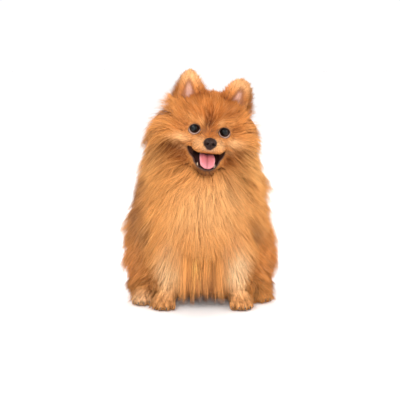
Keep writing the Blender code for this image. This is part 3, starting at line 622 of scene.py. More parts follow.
class Finish:
    """A material with one Principled shader. Any other node comes from node()."""

    def __init__(self, name, **settings):
        self.material = bpy.data.materials.new(name)
        self.material.use_nodes = True
        self.tree = self.material.node_tree
        self.shader = self.tree.nodes["Principled BSDF"]
        self.set(**settings)

    def set(self, **settings):
        """Sets or links the shader's own sockets, named with _ for a space."""
        self.fill(self.shader, {name.replace("_", " "): value for name, value in settings.items()})

    def fill(self, node, values):
        for name, value in values.items():
            if isinstance(value, Value):
                self.tree.links.new(value.socket, node.inputs[name])
            else:
                node.inputs[name].default_value = value

    def node(self, kind, output=0, values=None, stops=None, **settings):
        """A node of that kind; its settings and a ramp's stops come before its sockets' values."""
        made = self.tree.nodes.new("ShaderNode" + kind)
        for name, value in settings.items():
            setattr(made, name, value)
        for index, (place, colour) in enumerate(stops or ()):
            ramp = made.color_ramp.elements
            stop = ramp[index] if index < len(ramp) else ramp.new(place)
            stop.position = place
            stop.color = (*colour, 1)
        self.fill(made, values or {})
        return Value(self.tree, made.outputs[output])

    def attribute(self, name, output="Color"):
        return self.node("Attribute", output, attribute_name=name)

    def noise(self, scale, detail=3.0, roughness=0.6):
        """Noise of that many waves to the metre, in the object's own place."""
        place = self.node("TexCoord", "Object")
        values = {"Vector": place, "Scale": scale, "Detail": detail, "Roughness": roughness}
        return self.node("TexNoise", "Fac", values)

    def mixed(self, share, first, second, blend="MIX"):
        values = {0: share, 6: first, 7: second}
        return self.node("Mix", 2, values, data_type="RGBA", blend_type=blend)

    def bumped(self, height, distance, strength=1.0):
        values = {"Height": height, "Distance": distance, "Strength": strength}
        self.set(Normal=self.node("Bump", 0, values))

    def on(self, piece):
        piece.data.materials.clear()
        piece.data.materials.append(self.material)
        return piece


# Skin's finish
# Under the coat the skin is matt with a nap of fine hair. On the lips, in the mouth, on the pads
# and at the lids' edges it is bare, dark and moist.

skin_finish = Finish("skin", IOR=1.4, Specular_IOR_Level=0.4)
moist = skin_finish.attribute("bare", "Fac")
nap = skin_finish.noise(900, 4.0)
skin_finish.set(
    Base_Color=skin_finish.mixed(0.35 * nap, skin_finish.attribute("tint"), (0.05, 0.02, 0.01, 1)),
    Roughness=0.75 - 0.30 * moist,
)
skin_finish.bumped(nap, 0.0006, 0.6)
skin_finish.on(skin)
choose(skin)
bpy.ops.object.shade_smooth()
bpy.ops.object.mode_set(mode="EDIT")
bpy.ops.mesh.select_all(action="SELECT")
bpy.ops.uv.smart_project(angle_limit=math.radians(66), island_margin=0.001)
bpy.ops.object.mode_set(mode="OBJECT")
skin.data.uv_layers[0].name = "OFBake"
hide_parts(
    "head", "lower_jaw", "neck", "torso", "tail", "ear_right", "ear_left",
    "foreleg_right", "foreleg_left", "hind_leg_right", "hind_leg_left", *PAWS,
)
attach(skin, "root")

# Eyes
# Each eyeball is dark brown round a black pupil, wet all over, and looks at the camera. Its
# cornea stands a little proud of the ball.

GAZE = Vector((0.0, -math.cos(math.radians(8)), math.sin(math.radians(8))))
CORNEA_EDGE = 0.80
CORNEA_HEIGHT = 0.0007

eye_finish = Finish("eye", Roughness=0.3, Specular_IOR_Level=0.1, Coat_Weight=0.55)
eye_finish.set(Coat_Roughness=0.01, Coat_IOR=1.31)
off_axis = eye_finish.attribute("off_axis", "Fac")
eye_finish.set(Base_Color=eye_finish.node("ValToRGB", 0, {0: off_axis}, stops=(
    (0.0, (0.001, 0.001, 0.001)), (0.33, (0.001, 0.001, 0.001)), (0.38, (0.022, 0.008, 0.004)),
    (0.56, (0.014, 0.005, 0.002)), (0.62, (0.002, 0.001, 0.001)), (0.69, (0.40, 0.33, 0.34)),
)))
for index, name in enumerate(("eye_right", "eye_left")):
    bpy.ops.mesh.primitive_uv_sphere_add(segments=48, ring_count=32, radius=EYE_RADIUS)
    ball = settled()
    points = corners_of(ball)
    turn = np.array(GAZE.to_track_quat("Z", "Y").to_matrix())
    angle = np.arccos(np.clip(points[:, 2] / EYE_RADIUS, -1, 1))
    cornea = np.clip(1 - (angle / CORNEA_EDGE)**2, 0, 1)
    points *= (1 + CORNEA_HEIGHT / EYE_RADIUS * cornea)[:, None]
    reshape(ball, points @ turn.T + sockets[index].centre)
    ball.name = ball.data.name = name + "_ball"
    paint(ball, "off_axis", np.clip(angle / 1.5, 0, 1))
    choose(ball)
    bpy.ops.object.shade_smooth()
    eye_finish.on(ball)
    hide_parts(name)
    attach(ball, "root")

# Nose
# The nose is black, moist leather with a fine grain. Its nostrils open to the front and run out
# into a slit at each side, and a groove parts it below.

NOSTRILS = mirrored((0.0041, -0.0412, -0.0158), (0.0023, 0.0044, 0.0020), 0, (0, 20, 0), HEAD)
SLITS = mirrored((0.0076, -0.0385, -0.0173), (0.0034, 0.0042, 0.0007), 0, (0, 25, 0), HEAD)
NOSE_GROOVE = Form((0, -0.0415, -0.0200), (0.0005, 0.0022, 0.0050), 0, (0, 0, 0), HEAD)

nose = flesh("nose_leather", (NOSE_PAD, *NOSE_WINGS), 0.00045)
cut(nose, "DIFFERENCE", *[ellipsoid(form, 0, 24, 16) for form in (*NOSTRILS, *SLITS, NOSE_GROOVE)])
applied(nose, "SMOOTH", factor=0.5, iterations=2)
choose(nose)
bpy.ops.object.shade_smooth()
nose_finish = Finish("nose", Roughness=0.30, Specular_IOR_Level=0.10, Coat_Weight=0.06)
place = nose_finish.node("TexCoord", "Object")
cells = nose_finish.node("TexVoronoi", "Distance", {"Vector": place, "Scale": 1500.0})
worn = nose_finish.noise(220)
nose_finish.set(Base_Color=nose_finish.mixed(worn, (0.006, 0.003, 0.002, 1), (0.036, 0.015, 0.010, 1)))
nose_finish.bumped(cells, 0.0003, 0.5)
nose_finish.on(nose)
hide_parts("nose")
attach(nose, "root")

# Tongue
# The tongue is a flat, wet muscle with a groove down its middle and paler edges. It lies on the
# jaw and hangs a little over it.

# The tongue's midline from its root to its tip (back, up), and half its width there
TONGUE = (
    (0.012, -0.0320, 0.0075), (0.002, -0.0322, 0.0088), (-0.008, -0.0332, 0.0099),
    (-0.017, -0.0350, 0.0107), (-0.025, -0.0382, 0.0110), (-0.031, -0.0420, 0.0106),
    (-0.0352, -0.0465, 0.0096), (-0.0372, -0.0512, 0.0076),
)
TONGUE_HALF_THICKNESS = 0.0022
TONGUE_GROOVE = 0.0016
TONGUE_GROOVE_WIDTH = 0.0026
TONGUE_ROUND = 0.82


def smooth_line(stations, share):
    """Points at even steps along a line through stations, rounded at its corners."""
    dense = np.linspace(0, 1, 120)
    line = np.stack([np.interp(dense, np.linspace(0, 1, len(stations)), c) for c in zip(*stations)], 1)
    for _ in range(60):
        line[1:-1] = (line[:-2] + line[1:-1] + line[2:]) / 3
    return np.stack([np.interp(share, dense, c) for c in line.T], 1)


bpy.ops.mesh.primitive_uv_sphere_add(segments=40, ring_count=56, radius=1)
tongue = settled()
points = corners_of(tongue)
along = np.arccos(np.clip(points[:, 2], -1, 1)) / math.pi
around = np.arctan2(points[:, 1], points[:, 0])
line = smooth_line(TONGUE, along)
ahead = smooth_line(TONGUE, np.minimum(along + 0.01, 1)) - smooth_line(TONGUE, np.maximum(along - 0.01, 0))
over = unit(np.stack([0 * along, ahead[:, 1], -ahead[:, 0]], 1))
tip = np.sqrt(np.clip(1 - (np.clip(along - TONGUE_ROUND, 0, 1) / (1 - TONGUE_ROUND))**2, 0, 1))
heel = np.clip(along / 0.05, 0, 1)
across = line[:, 2] * np.cos(around) * tip * heel
high = TONGUE_HALF_THICKNESS * np.sin(around) * np.minimum(tip, heel)
groove = TONGUE_GROOVE * np.exp(-((across / TONGUE_GROOVE_WIDTH)**2)) * np.clip(1 - along**6, 0, 1)
high -= np.where(high > 0, groove * np.minimum(tip, heel), 0)
local = np.stack([across, line[:, 0], line[:, 1]], 1) + over * high[:, None]
reshape(tongue, local @ HEAD_AXES.T + np.array(HEAD_PLACE))
tongue.name = tongue.data.name = "tongue_muscle"
paint(tongue, "edge", np.clip(np.abs(across) / 0.0105, 0, 1))
choose(tongue)
bpy.ops.object.mode_set(mode="EDIT")
bpy.ops.mesh.select_all(action="SELECT")
bpy.ops.mesh.normals_make_consistent(inside=False)
bpy.ops.object.mode_set(mode="OBJECT")
bpy.ops.object.shade_smooth()
tongue_finish = Finish("tongue", Roughness=0.33, Specular_IOR_Level=0.5, Subsurface_Weight=0.15)
tongue_finish.set(Subsurface_Radius=(0.004, 0.0015, 0.001), Subsurface_Scale=1.0)
edge = tongue_finish.attribute("edge", "Fac")
colour = tongue_finish.node("ValToRGB", 0, {0: edge}, stops=(
    (0.0, (0.24, 0.055, 0.062)), (0.22, (0.41, 0.110, 0.128)), (0.75, (0.46, 0.128, 0.145)),
    (0.98, (0.58, 0.220, 0.240)),
))
papillae = tongue_finish.noise(1400, 2.0)
tongue_finish.set(Base_Color=tongue_finish.mixed(0.25 * papillae, colour, (0.56, 0.23, 0.24, 1)))
tongue_finish.bumped(papillae, 0.0004, 0.5)
tongue_finish.on(tongue)
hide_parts("tongue")
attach(tongue, "root")

# Claws
# Each toe ends in one short, dark, curved claw of horn. It is a small ball drawn out along its
# curve, and each paw's claws are one piece.

CLAW_LENGTH = 0.0068
CLAW_RADIUS = 0.0018
CLAW_DROP = 0.0046


def claw(toe):
    bpy.ops.mesh.primitive_uv_sphere_add(segments=12, ring_count=10, radius=1)
    horn = settled()
    points = corners_of(horn)
    along = (1 - points[:, 2]) / 2
    thin = CLAW_RADIUS * np.sqrt(np.clip(1 - along, 0, 1))
    local = np.stack([points[:, 0] * thin, -along * CLAW_LENGTH, points[:, 1] * thin * 1.25], 1)
    local[:, 2] += 0.0020 - CLAW_DROP * along**2
    start = toe.centre + toe.turn @ (0, -(toe.radii[1] - 0.0030), 0)
    place = local @ toe.turn.T + start
    place[:, 2] = np.maximum(place[:, 2], 0.0004)
    reshape(horn, place)
    return horn


claw_finish = Finish("claw", Roughness=0.35, Specular_IOR_Level=0.5)
streak = claw_finish.noise(500)
claw_finish.set(Base_Color=claw_finish.mixed(streak, (0.010, 0.007, 0.006, 1), (0.06, 0.035, 0.025, 1)))
for name, forms in PAW_FORMS.items():
    claws = joined("claws_" + name, [claw(toe) for toe in forms[1:]])
    choose(claws)
    bpy.ops.object.mode_set(mode="EDIT")
    bpy.ops.mesh.select_all(action="SELECT")
    bpy.ops.mesh.normals_make_consistent(inside=False)
    bpy.ops.object.mode_set(mode="OBJECT")
    bpy.ops.object.shade_smooth()
    claw_finish.on(claws)
    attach(claws, "root")

# Teeth
# A small pointed canine stands on each side of the tongue in the lower jaw, smooth and ivory.

CANINES = mirrored((0.0120, -0.0176, -0.0492), (0.0012, 0.0015, 0.0046), 0, (14, 8, 0), HEAD)

teeth = joined("canines", [ellipsoid(form, 0, 16, 16) for form in CANINES])
points = corners_of(teeth)
for form in CANINES:
    local = (points - form.centre) @ form.turn
    mine = np.abs(local[:, 0]) < 0.004
    slim = 1 - 0.45 * np.clip(local[:, 2] / form.radii[2], 0, 1)
    local[:, :2] *= slim[:, None]
    points[mine] = (local @ form.turn.T + form.centre)[mine]
reshape(teeth, points)
choose(teeth)
bpy.ops.object.shade_smooth()
tooth_finish = Finish("tooth", Roughness=0.2, Specular_IOR_Level=0.5)
stain = tooth_finish.noise(300)
tooth_finish.set(Base_Color=tooth_finish.mixed(stain, (0.60, 0.47, 0.33, 1), (0.42, 0.28, 0.17, 1)))
tooth_finish.on(teeth)
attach(teeth, "root")

# Coat
# The coat is a dense woolly undercoat with long straight guard hair over it, that stands off the
# body in pointed locks. Each tuft is a thin three-sided solid that starts on the skin and is
# walked outwards along the lie, and neighbouring tufts are drawn together into locks.

chance = np.random.default_rng(11)
CREST = np.array(HEAD @ Vector((0, -0.030, -0.010)))
FLOOR = 0.0012
NOSE_FORMS = (NOSE_PAD, *NOSE_WINGS)
FLESH_FORMS = (*BODY_FORMS, *HEAD_FORMS, *JAW_FORMS)
# How far along a tuft its rings stand, and how wide it is there
TUFT_RINGS = ((0.0, 0.65), (0.45, 1.0))
TUFT_SIDES = 3
WALK = 6


def flow(place, kind):
    """The way the coat runs at these places."""
    away = place - CREST
    far = np.linalg.norm(away, axis=1, keepdims=True)
    away /= far
    hang = 0.10 + 0.65 * np.clip((far - 0.055) / 0.06, 0, 1)
    way = away + hang * (0, 0, -1.0)
    side = np.sign(place[:, :1])
    if kind == "head":
        for socket in sockets:
            from_eye = place - socket.centre
            near = np.linalg.norm(from_eye, axis=1, keepdims=True)
            way = way + 1.3 * np.exp(-((near / 0.0145)**4)) * from_eye / near
    elif kind == "haunch":
        way = way + side * (0.55, 0, 0)
    elif kind == "tail":
        way = (place - TAIL.centre) * (1.0, 0.4, 0.2) / 0.040 + (0, 0, 0.9)
    elif kind == "leg":
        low = np.clip((0.034 - place[:, 2:]) / 0.014, 0, 1)
        way = np.array((0, 0.12, -1.0)) + side * (0.10, 0, 0) + low * (0, -1.3, 0.5)
    elif kind == "paw":
        centres = np.array([centre for centre, _, _ in PAWS.values()])
        own = np.argmin(np.linalg.norm(place[:, None, :2] - centres[None, :, :2], axis=2), axis=1)
        aside = np.clip((place - centres[own])[:, :1] / 0.020, -0.6, 0.6)
        way = np.array((0, -1.0, -0.45)) + aside * (1.0, 0, 0)
    return way


def waves(points, scale, seed):
    """Slow, smooth noise between about -1 and 1 over points."""
    turns = np.random.default_rng(seed)
    total = np.zeros(len(points))
    for _ in range(6):
        way = unit(turns.normal(size=3)) * turns.uniform(0.6, 1.6) / scale
        total += np.sin(points @ way + turns.uniform(0, math.tau))
    return total / 2.4


def turned(way, out, angle):
    """The ways turned by these angles round the outward ones."""
    cos, sin = np.cos(angle)[:, None], np.sin(angle)[:, None]
    return way * cos + np.cross(out, way) * sin


def walked(root, out, length, share, angle, kind, forms):
    """Each tuft's path from its root: along the lie, and out to its share of the coat's depth."""
    path = [root]
    place = root
    for step in range(1, WALK + 1):
        risen = share * (step / WALK)**0.85
        way = flow(place, kind)
        way = way - out * (way * out).sum(1)[:, None]
        way = turned(unit(way), out, angle)
        place = place + way * (length / WALK)[:, None]
        for _ in range(2):
            depth, out = field(place, forms, risen)
            place = place - out * depth[:, None]
        place[:, 2] = np.maximum(place[:, 2], FLOOR)
        path.append(place)
    return np.stack(path, 1), out


def along_path(path, share):
    """The point at that share of each path."""
    whole = share * WALK
    step = min(int(whole), WALK - 1)
    part = whole - step
    return path[:, step] * (1 - part) + path[:, step + 1] * part


def trimmed(path, share):
    """The paths, each cut short at its share of their length."""
    steps = np.linspace(0, WALK, WALK + 1)[None] * share[:, None]
    whole = np.minimum(steps.astype(int), WALK - 1)
    part = (steps - whole)[:, :, None]
    rows = np.arange(len(path))[:, None]
    return path[rows, whole] * (1 - part) + path[rows, whole + 1] * part


def nearest(points, others):
    tree = KDTree(len(others))
    for index, other in enumerate(others):
        tree.insert(other, index)
    tree.balance()
    return np.array([tree.find(point)[1] for point in points])


def tufts(name, path, out, width, tint, place_on_skin, material, dark_root=1.0):
    """One mesh of tufts that follow the paths and taper to a point. Their colour is one for each
    tuft, or one for each of its rings and its tip."""
    smooth = 0.80 - 0.25 * dark_root
    count = len(path)
    rows = len(TUFT_RINGS)
    rings = []
    for share, wide in TUFT_RINGS:
        middle = along_path(path, share)
        ahead = unit(along_path(path, min(share + 0.15, 1)) - along_path(path, max(share - 0.15, 0)))
        across = unit(np.cross(ahead, out))
        over = np.cross(across, ahead)
        for side in range(TUFT_SIDES):
            turn = math.tau * (side + 0.25) / TUFT_SIDES
            thick = 0.5 * wide * width[:, None]
            rings.append(middle + thick * (across * math.cos(turn) + 0.62 * over * math.sin(turn)))
    rings.append(path[:, -1])
    points = np.stack(rings, 1)
    points[:, :, 2] = np.maximum(points[:, :, 2], 0.0006)
    per = points.shape[1]
    faces = [(0, 1, 2)]
    for row in range(rows - 1):
        for a in range(TUFT_SIDES):
            b = (a + 1) % TUFT_SIDES
            low, high = row * TUFT_SIDES, (row + 1) * TUFT_SIDES
            faces += [(low + a, high + b, low + b), (low + a, high + a, high + b)]
    last = (rows - 1) * TUFT_SIDES
    faces += [(last + (a + 1) % TUFT_SIDES, last + a, per - 1) for a in range(TUFT_SIDES)]
    corners = (np.arange(count)[:, None, None] * per + np.array(faces)[None]).reshape(-1)
    mesh = bpy.data.meshes.new(name)
    mesh.vertices.add(count * per)
    mesh.vertices.foreach_set("co", points.astype(np.float32).ravel())
    mesh.loops.add(len(corners))
    mesh.loops.foreach_set("vertex_index", corners.astype(np.int32))
    mesh.polygons.add(len(corners) // 3)
    mesh.polygons.foreach_set("loop_start", np.arange(0, len(corners), 3, dtype=np.int32))
    mesh.update(calc_edges=True)
    piece = bpy.data.objects.new(name, mesh)
    bpy.context.scene.collection.objects.link(piece)
    along = np.array([share for share, _ in TUFT_RINGS for _ in range(TUFT_SIDES)] + [1.0])
    tint = np.broadcast_to(tint if tint.ndim == 3 else tint[:, None], (count, rows + 1, 3))
    tint = np.concatenate([np.repeat(tint[:, :-1], TUFT_SIDES, axis=1), tint[:, -1:]], axis=1)
    paint(piece, "tint", np.clip(tint, 0.004, 0.95).reshape(-1, 3))
    paint(piece, "along", np.tile(1 - dark_root * (1 - along), count))
    spot = chance.uniform(-0.0015, 0.0015, (count, per, 2)) + place_on_skin[:, None]
    layer = mesh.uv_layers.new(name="OFBake")
    layer.data.foreach_set("uv", spot.reshape(-1, 2)[corners].astype(np.float32).ravel())
    mesh.polygons.foreach_set("use_smooth", np.ones(len(corners) // 3, bool))
    facing = np.empty(count * per * 3, dtype=np.float32)
    mesh.vertex_normals.foreach_get("vector", facing)
    mixed = unit(facing.reshape(-1, 3) * (1 - smooth) + np.repeat(out, per, axis=0) * smooth)
    mesh.normals_split_custom_set_from_vertices(mixed)
    mesh.materials.append(material)
    return piece


# Where on the skin each zone's coat grows
skin_points = corners_of(skin)
skin.data.calc_loop_triangles()
triangles = np.empty(len(skin.data.loop_triangles) * 3, dtype=np.int32)
skin.data.loop_triangles.foreach_get("vertices", triangles)
triangles = triangles.reshape(-1, 3)
loops = np.empty(len(triangles) * 3, dtype=np.int32)
skin.data.loop_triangles.foreach_get("loops", loops)
skin_uv = np.empty(len(skin.data.loops) * 2, dtype=np.float32)
skin.data.uv_layers[0].data.foreach_get("uv", skin_uv)
triangle_uv = skin_uv.reshape(-1, 2)[loops].reshape(-1, 3, 2)
corners = skin_points[triangles]
middles = corners.mean(1)
area = np.linalg.norm(np.cross(corners[:, 1] - corners[:, 0], corners[:, 2] - corners[:, 0]), axis=1) / 2
covered = bare[triangles].max(1) < 0.5
standing = field(middles)[0] > 0.0010
on_ear = {side: on_leaf(middles, side)[3] & standing for side in EARS}
either_ear = on_ear["right"] | on_ear["left"]
free = hair_free[triangles]
closest = np.argmin([field(middles, (form,))[0] for form in EVERY_FORM], axis=0)
zone_of = {form: index for index, form in enumerate(EVERY_FORM)}


def zone(*forms):
    return np.isin(closest, [zone_of[form] for form in forms]) & covered & ~either_ear


side_of = middles[:, 0]
fronts = middles[:, 1]
trunk_zone = zone(CHEST, RIBS, LOIN, RUMP)
front = trunk_zone & (fronts < -0.125)
# Each piece of the coat: where it grows, how many tufts, the kind of lie, the length at no depth,
# the length for each depth, the share of the depth its tips reach, width, size of its locks, how
# strongly they are drawn together, the share of loose ones and how dark the roots are
FACE = (BROW, STOP, MUZZLE, *LIPS, *LIDS, *CHEEKS, CHIN, *JAW_SIDES)
RIGHT, LEFT = trunk_zone & ~front & (side_of < 0), trunk_zone & ~front & (side_of >= 0)
ZONES = {
    "coat_face": (zone(*FACE), 15500, "head", 0.0046, 1.2, 0.80, 0.00055, 0.0035, 0.22, 0, 0.5),
    "coat_crown": (zone(SKULL), 10500, "head", 0.006, 0.95, 0.88, 0.00070, 0.006, 0.26, 0.03, 0.6),
    "coat_cheeks": (zone(THROAT, GULLET, *JOWLS), 14500, "head", 0.006, 1.35, 0.90, 0.0009, 0.007, 0.28, 0.04, 0.8),
    "coat_ruff": (zone(NECK), 15000, "body", 0.006, 1.35, 0.92, 0.00095, 0.008, 0.26, 0.03, 0.85),
    "coat_chest": (front, 16000, "body", 0.006, 1.35, 0.92, 0.00095, 0.008, 0.25, 0.03, 0.85),
    "coat_side_right": (RIGHT, 12000, "body", 0.006, 1.35, 0.92, 0.0012, 0.011, 0.34, 0.10, 0.9),
    "coat_side_left": (LEFT, 12000, "body", 0.006, 1.35, 0.92, 0.0012, 0.011, 0.34, 0.10, 0.9),
    "coat_haunches": (zone(*THIGHS), 14500, "haunch", 0.006, 1.40, 0.96, 0.0011, 0.011, 0.38, 0.15, 0.9),
    "coat_tail": (zone(TAIL), 7500, "tail", 0.010, 1.15, 0.88, 0.0013, 0.010, 0.30, 0.10, 0.8),
    "coat_legs": (zone(*FOREARMS, *HOCKS), 8000, "leg", 0.0065, 1.10, 1.20, 0.0008, 0.007, 0.25, 0, 0.5),
    "coat_paws": (zone(*EVERY_PAW_FORM), 8000, "paw", 0.0058, 1.1, 1.75, 0.00055, 0.003, 0.20, 0, 0.5),
}
# Longer hair grows in front of each ear's outer edge
EAR_TUFTS = [np.array(ear_frame(side) @ Vector((x, 0.002, 0.004))) for side, x in (("right", -0.019), ("left", 0.019))]

coat_finish = Finish("coat", Roughness=0.55, Specular_IOR_Level=0.04)
# Each tuft darkens towards its root: partly the undercoat's own tone, partly painted shade deep in the coat
root_tone_and_shade = coat_finish.node("ValToRGB", 0, {0: coat_finish.attribute("along", "Fac")}, stops=(
    (0.0, (0.30, 0.24, 0.21)), (0.45, (0.80, 0.76, 0.73)), (0.85, (1.06, 1.06, 1.05)),
))
coat_finish.set(Base_Color=coat_finish.mixed(1.0, coat_finish.attribute("tint"), root_tone_and_shade, "MULTIPLY"))


def sampled(where, count):
    """Roots spread by chance over part of the skin, closer together at its bare edges. Also
    their places on its unwrap, and how far they are from bare skin."""
    weight = np.where(where, area * (1 + 5 * np.exp(-free.mean(1) / 0.004)), 0)
    chosen = chance.choice(len(area), count, p=weight / weight.sum())
    parts = chance.dirichlet((1, 1, 1), count)
    root, spot = (np.einsum("ij,ijk->ik", parts, values[chosen]) for values in (corners, triangle_uv))
    return root, spot, (free[chosen] * parts).sum(1)


# The eyes look out through these, which no tuft crosses
VIEWS = mirrored((EYE_SPREAD + 0.0001, EYE_DEPTH - 0.020, 0.0004), (0.0095, 0.034, 0.0086), 0, (0, 0, 0), HEAD)


def kept_clear(path):
    """Which tufts keep out of the eyes' view, the mouth and the nose."""
    clear = np.ones(len(path), bool)
    for step in range(0, WALK + 1):
        place = path[:, step]
        for view in VIEWS:
            clear &= within(place, view) > 1
        clear &= within_mouth(place) > 0.98
        for form in NOSE_FORMS:
            clear &= within(place, form, 0.0004) > 1
    return clear


for name, facts in ZONES.items():
    where, count, kind, least, per_depth, share, width, lock, clumping, loose, dark_root = facts
    root, spot, edge = sampled(where, count)
    near_edge = np.clip(0.22 + edge / 0.0145, 0, 1)
    forms = (*FLESH_FORMS, *EVERY_PAW_FORM) if kind in ("paw", "leg") else FLESH_FORMS
    depth, out = field(root, forms, 1.0)
    depth = np.maximum(-depth, 0)
    guides = chance.permutation(count)[: max(40, int(area[where].sum() * 1.6 / lock**2))]
    near_guide = nearest(root, root[guides])
    fine = chance.permutation(count)[: count // 7]
    near_fine = nearest(root, root[fine])
    stray = chance.random(len(guides)) < loose
    uneven = 0.15 if kind == "tail" else 0.07
    shares = share * (1 + uneven * chance.normal(size=len(guides)) + 0.22 * stray)[near_guide]
    shares = shares * (1 + 0.08 * chance.normal(size=count)) * np.clip(near_edge * 1.3, 0, 1)
    stretch = (1 + 0.16 * chance.normal(size=len(guides)) + 0.22 * stray)[near_guide]
    if kind == "body":
        by_shoulder = np.exp(-(((root - (-0.055, -0.070, 0.150))**2).sum(1) / 0.034**2))
        low_chest = np.clip((0.135 - root[:, 2]) / 0.030, 0, 1) * (root[:, 1] < -0.10)
        low_chest *= np.clip((0.050 - np.abs(root[:, 0])) / 0.020, 0, 1)
        stretch = stretch + 0.60 * by_shoulder + 0.80 * low_chest
        shares = shares + 0.20 * by_shoulder
    if kind == "head":
        by_ear = sum(np.exp(-(((root - place)**2).sum(1) / 0.015**2)) for place in EAR_TUFTS)
        behind = np.clip((in_head(root)[:, 1] - 0.034) / 0.022, 0, 1)
        stretch = stretch + 1.1 * by_ear + 0.8 * behind
        shares = shares + 0.80 * by_ear
    length = (least + per_depth * depth) * stretch * (1 + 0.14 * chance.normal(size=count)) * near_edge
    calm = 0.4 if kind in ("leg", "paw") else 1.0
    sway = 0.15 * chance.normal(size=len(guides))[near_guide] + 0.10 * chance.normal(size=count)
    sway = calm * (sway + 0.15 * waves(root, 0.012, 3))
    path, over = walked(root, out, np.clip(length, 0.0012, 0.085), shares, sway, kind, forms)
    if kind == "body":
        tip, off = path[:, -1], np.abs(path[:, -1, 0] - 0.003)
        hem = 0.046 + 0.85 * off + 0.006 * chance.normal(size=count)
        over_legs = np.clip((0.080 - off) / 0.010, 0, 1) * np.clip((-0.098 - tip[:, 1]) / 0.02, 0, 1)
        above = np.clip((root[:, 2] - hem) / np.maximum(root[:, 2] - tip[:, 2], 1e-6), 0.35, 1)
        path = trimmed(path, 1 - over_legs * (1 - above))
    steps = (np.linspace(0, 1, WALK + 1)**1.5)[None, :, None]
    path = path + (path[fine][near_fine] - path) * 0.5 * steps
    path = path + (path[guides][near_guide] - path) * clumping * steps
    spots = [along_path(path, share) for share, _ in TUFT_RINGS] + [path[:, -1]]
    tint = np.stack([marks_and_shade(spot) for spot in spots], 1)
    shade = (1 + 0.11 * dark_root * chance.normal(size=len(guides)))[near_guide]
    tint = tint * (shade * (1 + 0.13 * chance.normal(size=count)))[:, None, None]
    sort = chance.random(count)
    paler = 0.25 if kind == "head" else 0.50
    for chosen, colour, strength in ((sort < 0.13, BROWN, 0.50), (sort > 0.87, PALE, paler)):
        tint[chosen, 1:] += strength * (np.array(colour) - tint[chosen, 1:])
    keep = kept_clear(path) if kind == "head" else np.ones(count, bool)
    wide = width * (0.8 + 0.4 * chance.random(count)) * (0.55 + 0.45 * near_edge)
    piece = tufts(name, path[keep], over[keep], wide[keep], tint[keep], spot[keep],
                  coat_finish.material, dark_root)
    "paw_coat" if kind == "paw" else "coat"
    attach(piece, "root")

# Whiskers
# A few stiff dark whiskers stand out from each side of the muzzle.

WHISKERS = 9
paths = []
for side in (-1, 1):
    for index in range(WHISKERS):
        row, column = index % 3, index // 3
        start = np.array((side * (0.0135 + 0.0015 * column), -0.026 + 0.006 * column, -0.0165 - 0.0035 * row))
        long = 0.020 + 0.004 * column + 0.003 * chance.random()
        way = unit(np.array((side * 1.0, -0.35 + 0.25 * column, 0.12 - 0.28 * row)))
        steps = np.linspace(0, 1, WALK + 1)[:, None]
        paths.append(start + way * long * steps + np.array((0, 0.3, -0.35)) * long * steps**2)
path = np.array(paths) @ HEAD_AXES.T + np.array(HEAD_PLACE)
dark = np.tile((0.07, 0.03, 0.015), (len(path), 1))
_, spot, _ = sampled(zone(*LIPS), len(path))
piece = tufts("whiskers", path, np.tile((0, -0.3, 1.0), (len(path), 1)), np.full(len(path), 0.0004),
              dark, spot, coat_finish.material, 0.2)
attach(piece, "root")

# Ears' coat
# The ears' backs and tips carry short dense hair that lies to the tip. Longer hair fringes their
# edges, most at the inner one, and the cup in front is almost bare.

EAR_HAIR = 5600
for side in EARS:
    root, spot, _ = sampled(on_ear[side] & covered, EAR_HAIR)
    across, along, front_side, _ = on_leaf(root, side)
    matrix = np.array(ear_frame(side))
    inner = -math.copysign(1, EARS[side][0])
    local = (root - matrix[:3, 3]) @ matrix[:3, :3]
    edge = np.abs(across)**3
    flat = np.where(front_side, -1.0, 1.0) * (1.05 - np.abs(across)**3) * (1 - 0.85 * along**6)
    out = unit(np.stack([1.3 * inner * across**3, flat, 1.5 * along**6], 1))
    aside = (0.75 + 0.8 * (1 - along)) * across * np.abs(across) + 0.05
    way = np.stack([inner * aside, 0 * across, 1 + 0 * across], 1)
    way += 0.13 * chance.normal(size=way.shape)
    length = 0.0060 + 0.0105 * edge * (1 - along) + 0.0030 * np.clip(across, 0, 1) * front_side
    length *= (1 - 0.50 * along) * (1 + 0.22 * chance.normal(size=EAR_HAIR))
    steps = np.linspace(0, 1, WALK + 1)[None, :, None]
    path = local[:, None] + unit(way)[:, None] * steps * length[:, None, None]
    path = path + out[:, None] * (0.0010 * steps**0.5)
    path = path @ matrix[:3, :3].T + matrix[:3, 3]
    colour = np.tile((0.60, 0.22, 0.060), (EAR_HAIR, 1))
    pale = np.clip((along - 0.45) / 0.3, 0, 1) * front_side
    low = np.clip((0.50 - along) / 0.3, 0, 1) * np.clip(across + 0.4, 0, 1)
    in_cup = ear_cup(across, along) * front_side
    # A darker rim round the bare cup: partly the ear's own brown, partly painted shade at the cup's edge
    cup_rim_tone_and_shade = 4 * in_cup * (1 - in_cup) * (along < 0.75)
    for share, tone in ((0.85 * pale, (0.72, 0.38, 0.17)), (0.8 * in_cup, (0.66, 0.39, 0.29)), (0.80 * low, (0.30, 0.075, 0.015)),
                        (0.75 * cup_rim_tone_and_shade, (0.26, 0.080, 0.024))):
        colour += share[:, None] * (np.array(tone) - colour)
    tint = colour * (1 + 0.12 * chance.normal(size=EAR_HAIR))[:, None]
    keep = chance.random(EAR_HAIR) > 0.85 * in_cup
    wide = 0.0006 * (0.8 + 0.4 * chance.random(EAR_HAIR))
    piece = tufts("coat_ear_" + side, path[keep], (out @ matrix[:3, :3].T)[keep], wide[keep],
                  tint[keep], spot[keep], coat_finish.material, 0.4)
    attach(piece, "root")

# Belly's fringe
# Between the forelegs the longest hair of the chest and belly hangs in pointed strands almost to
# the floor.

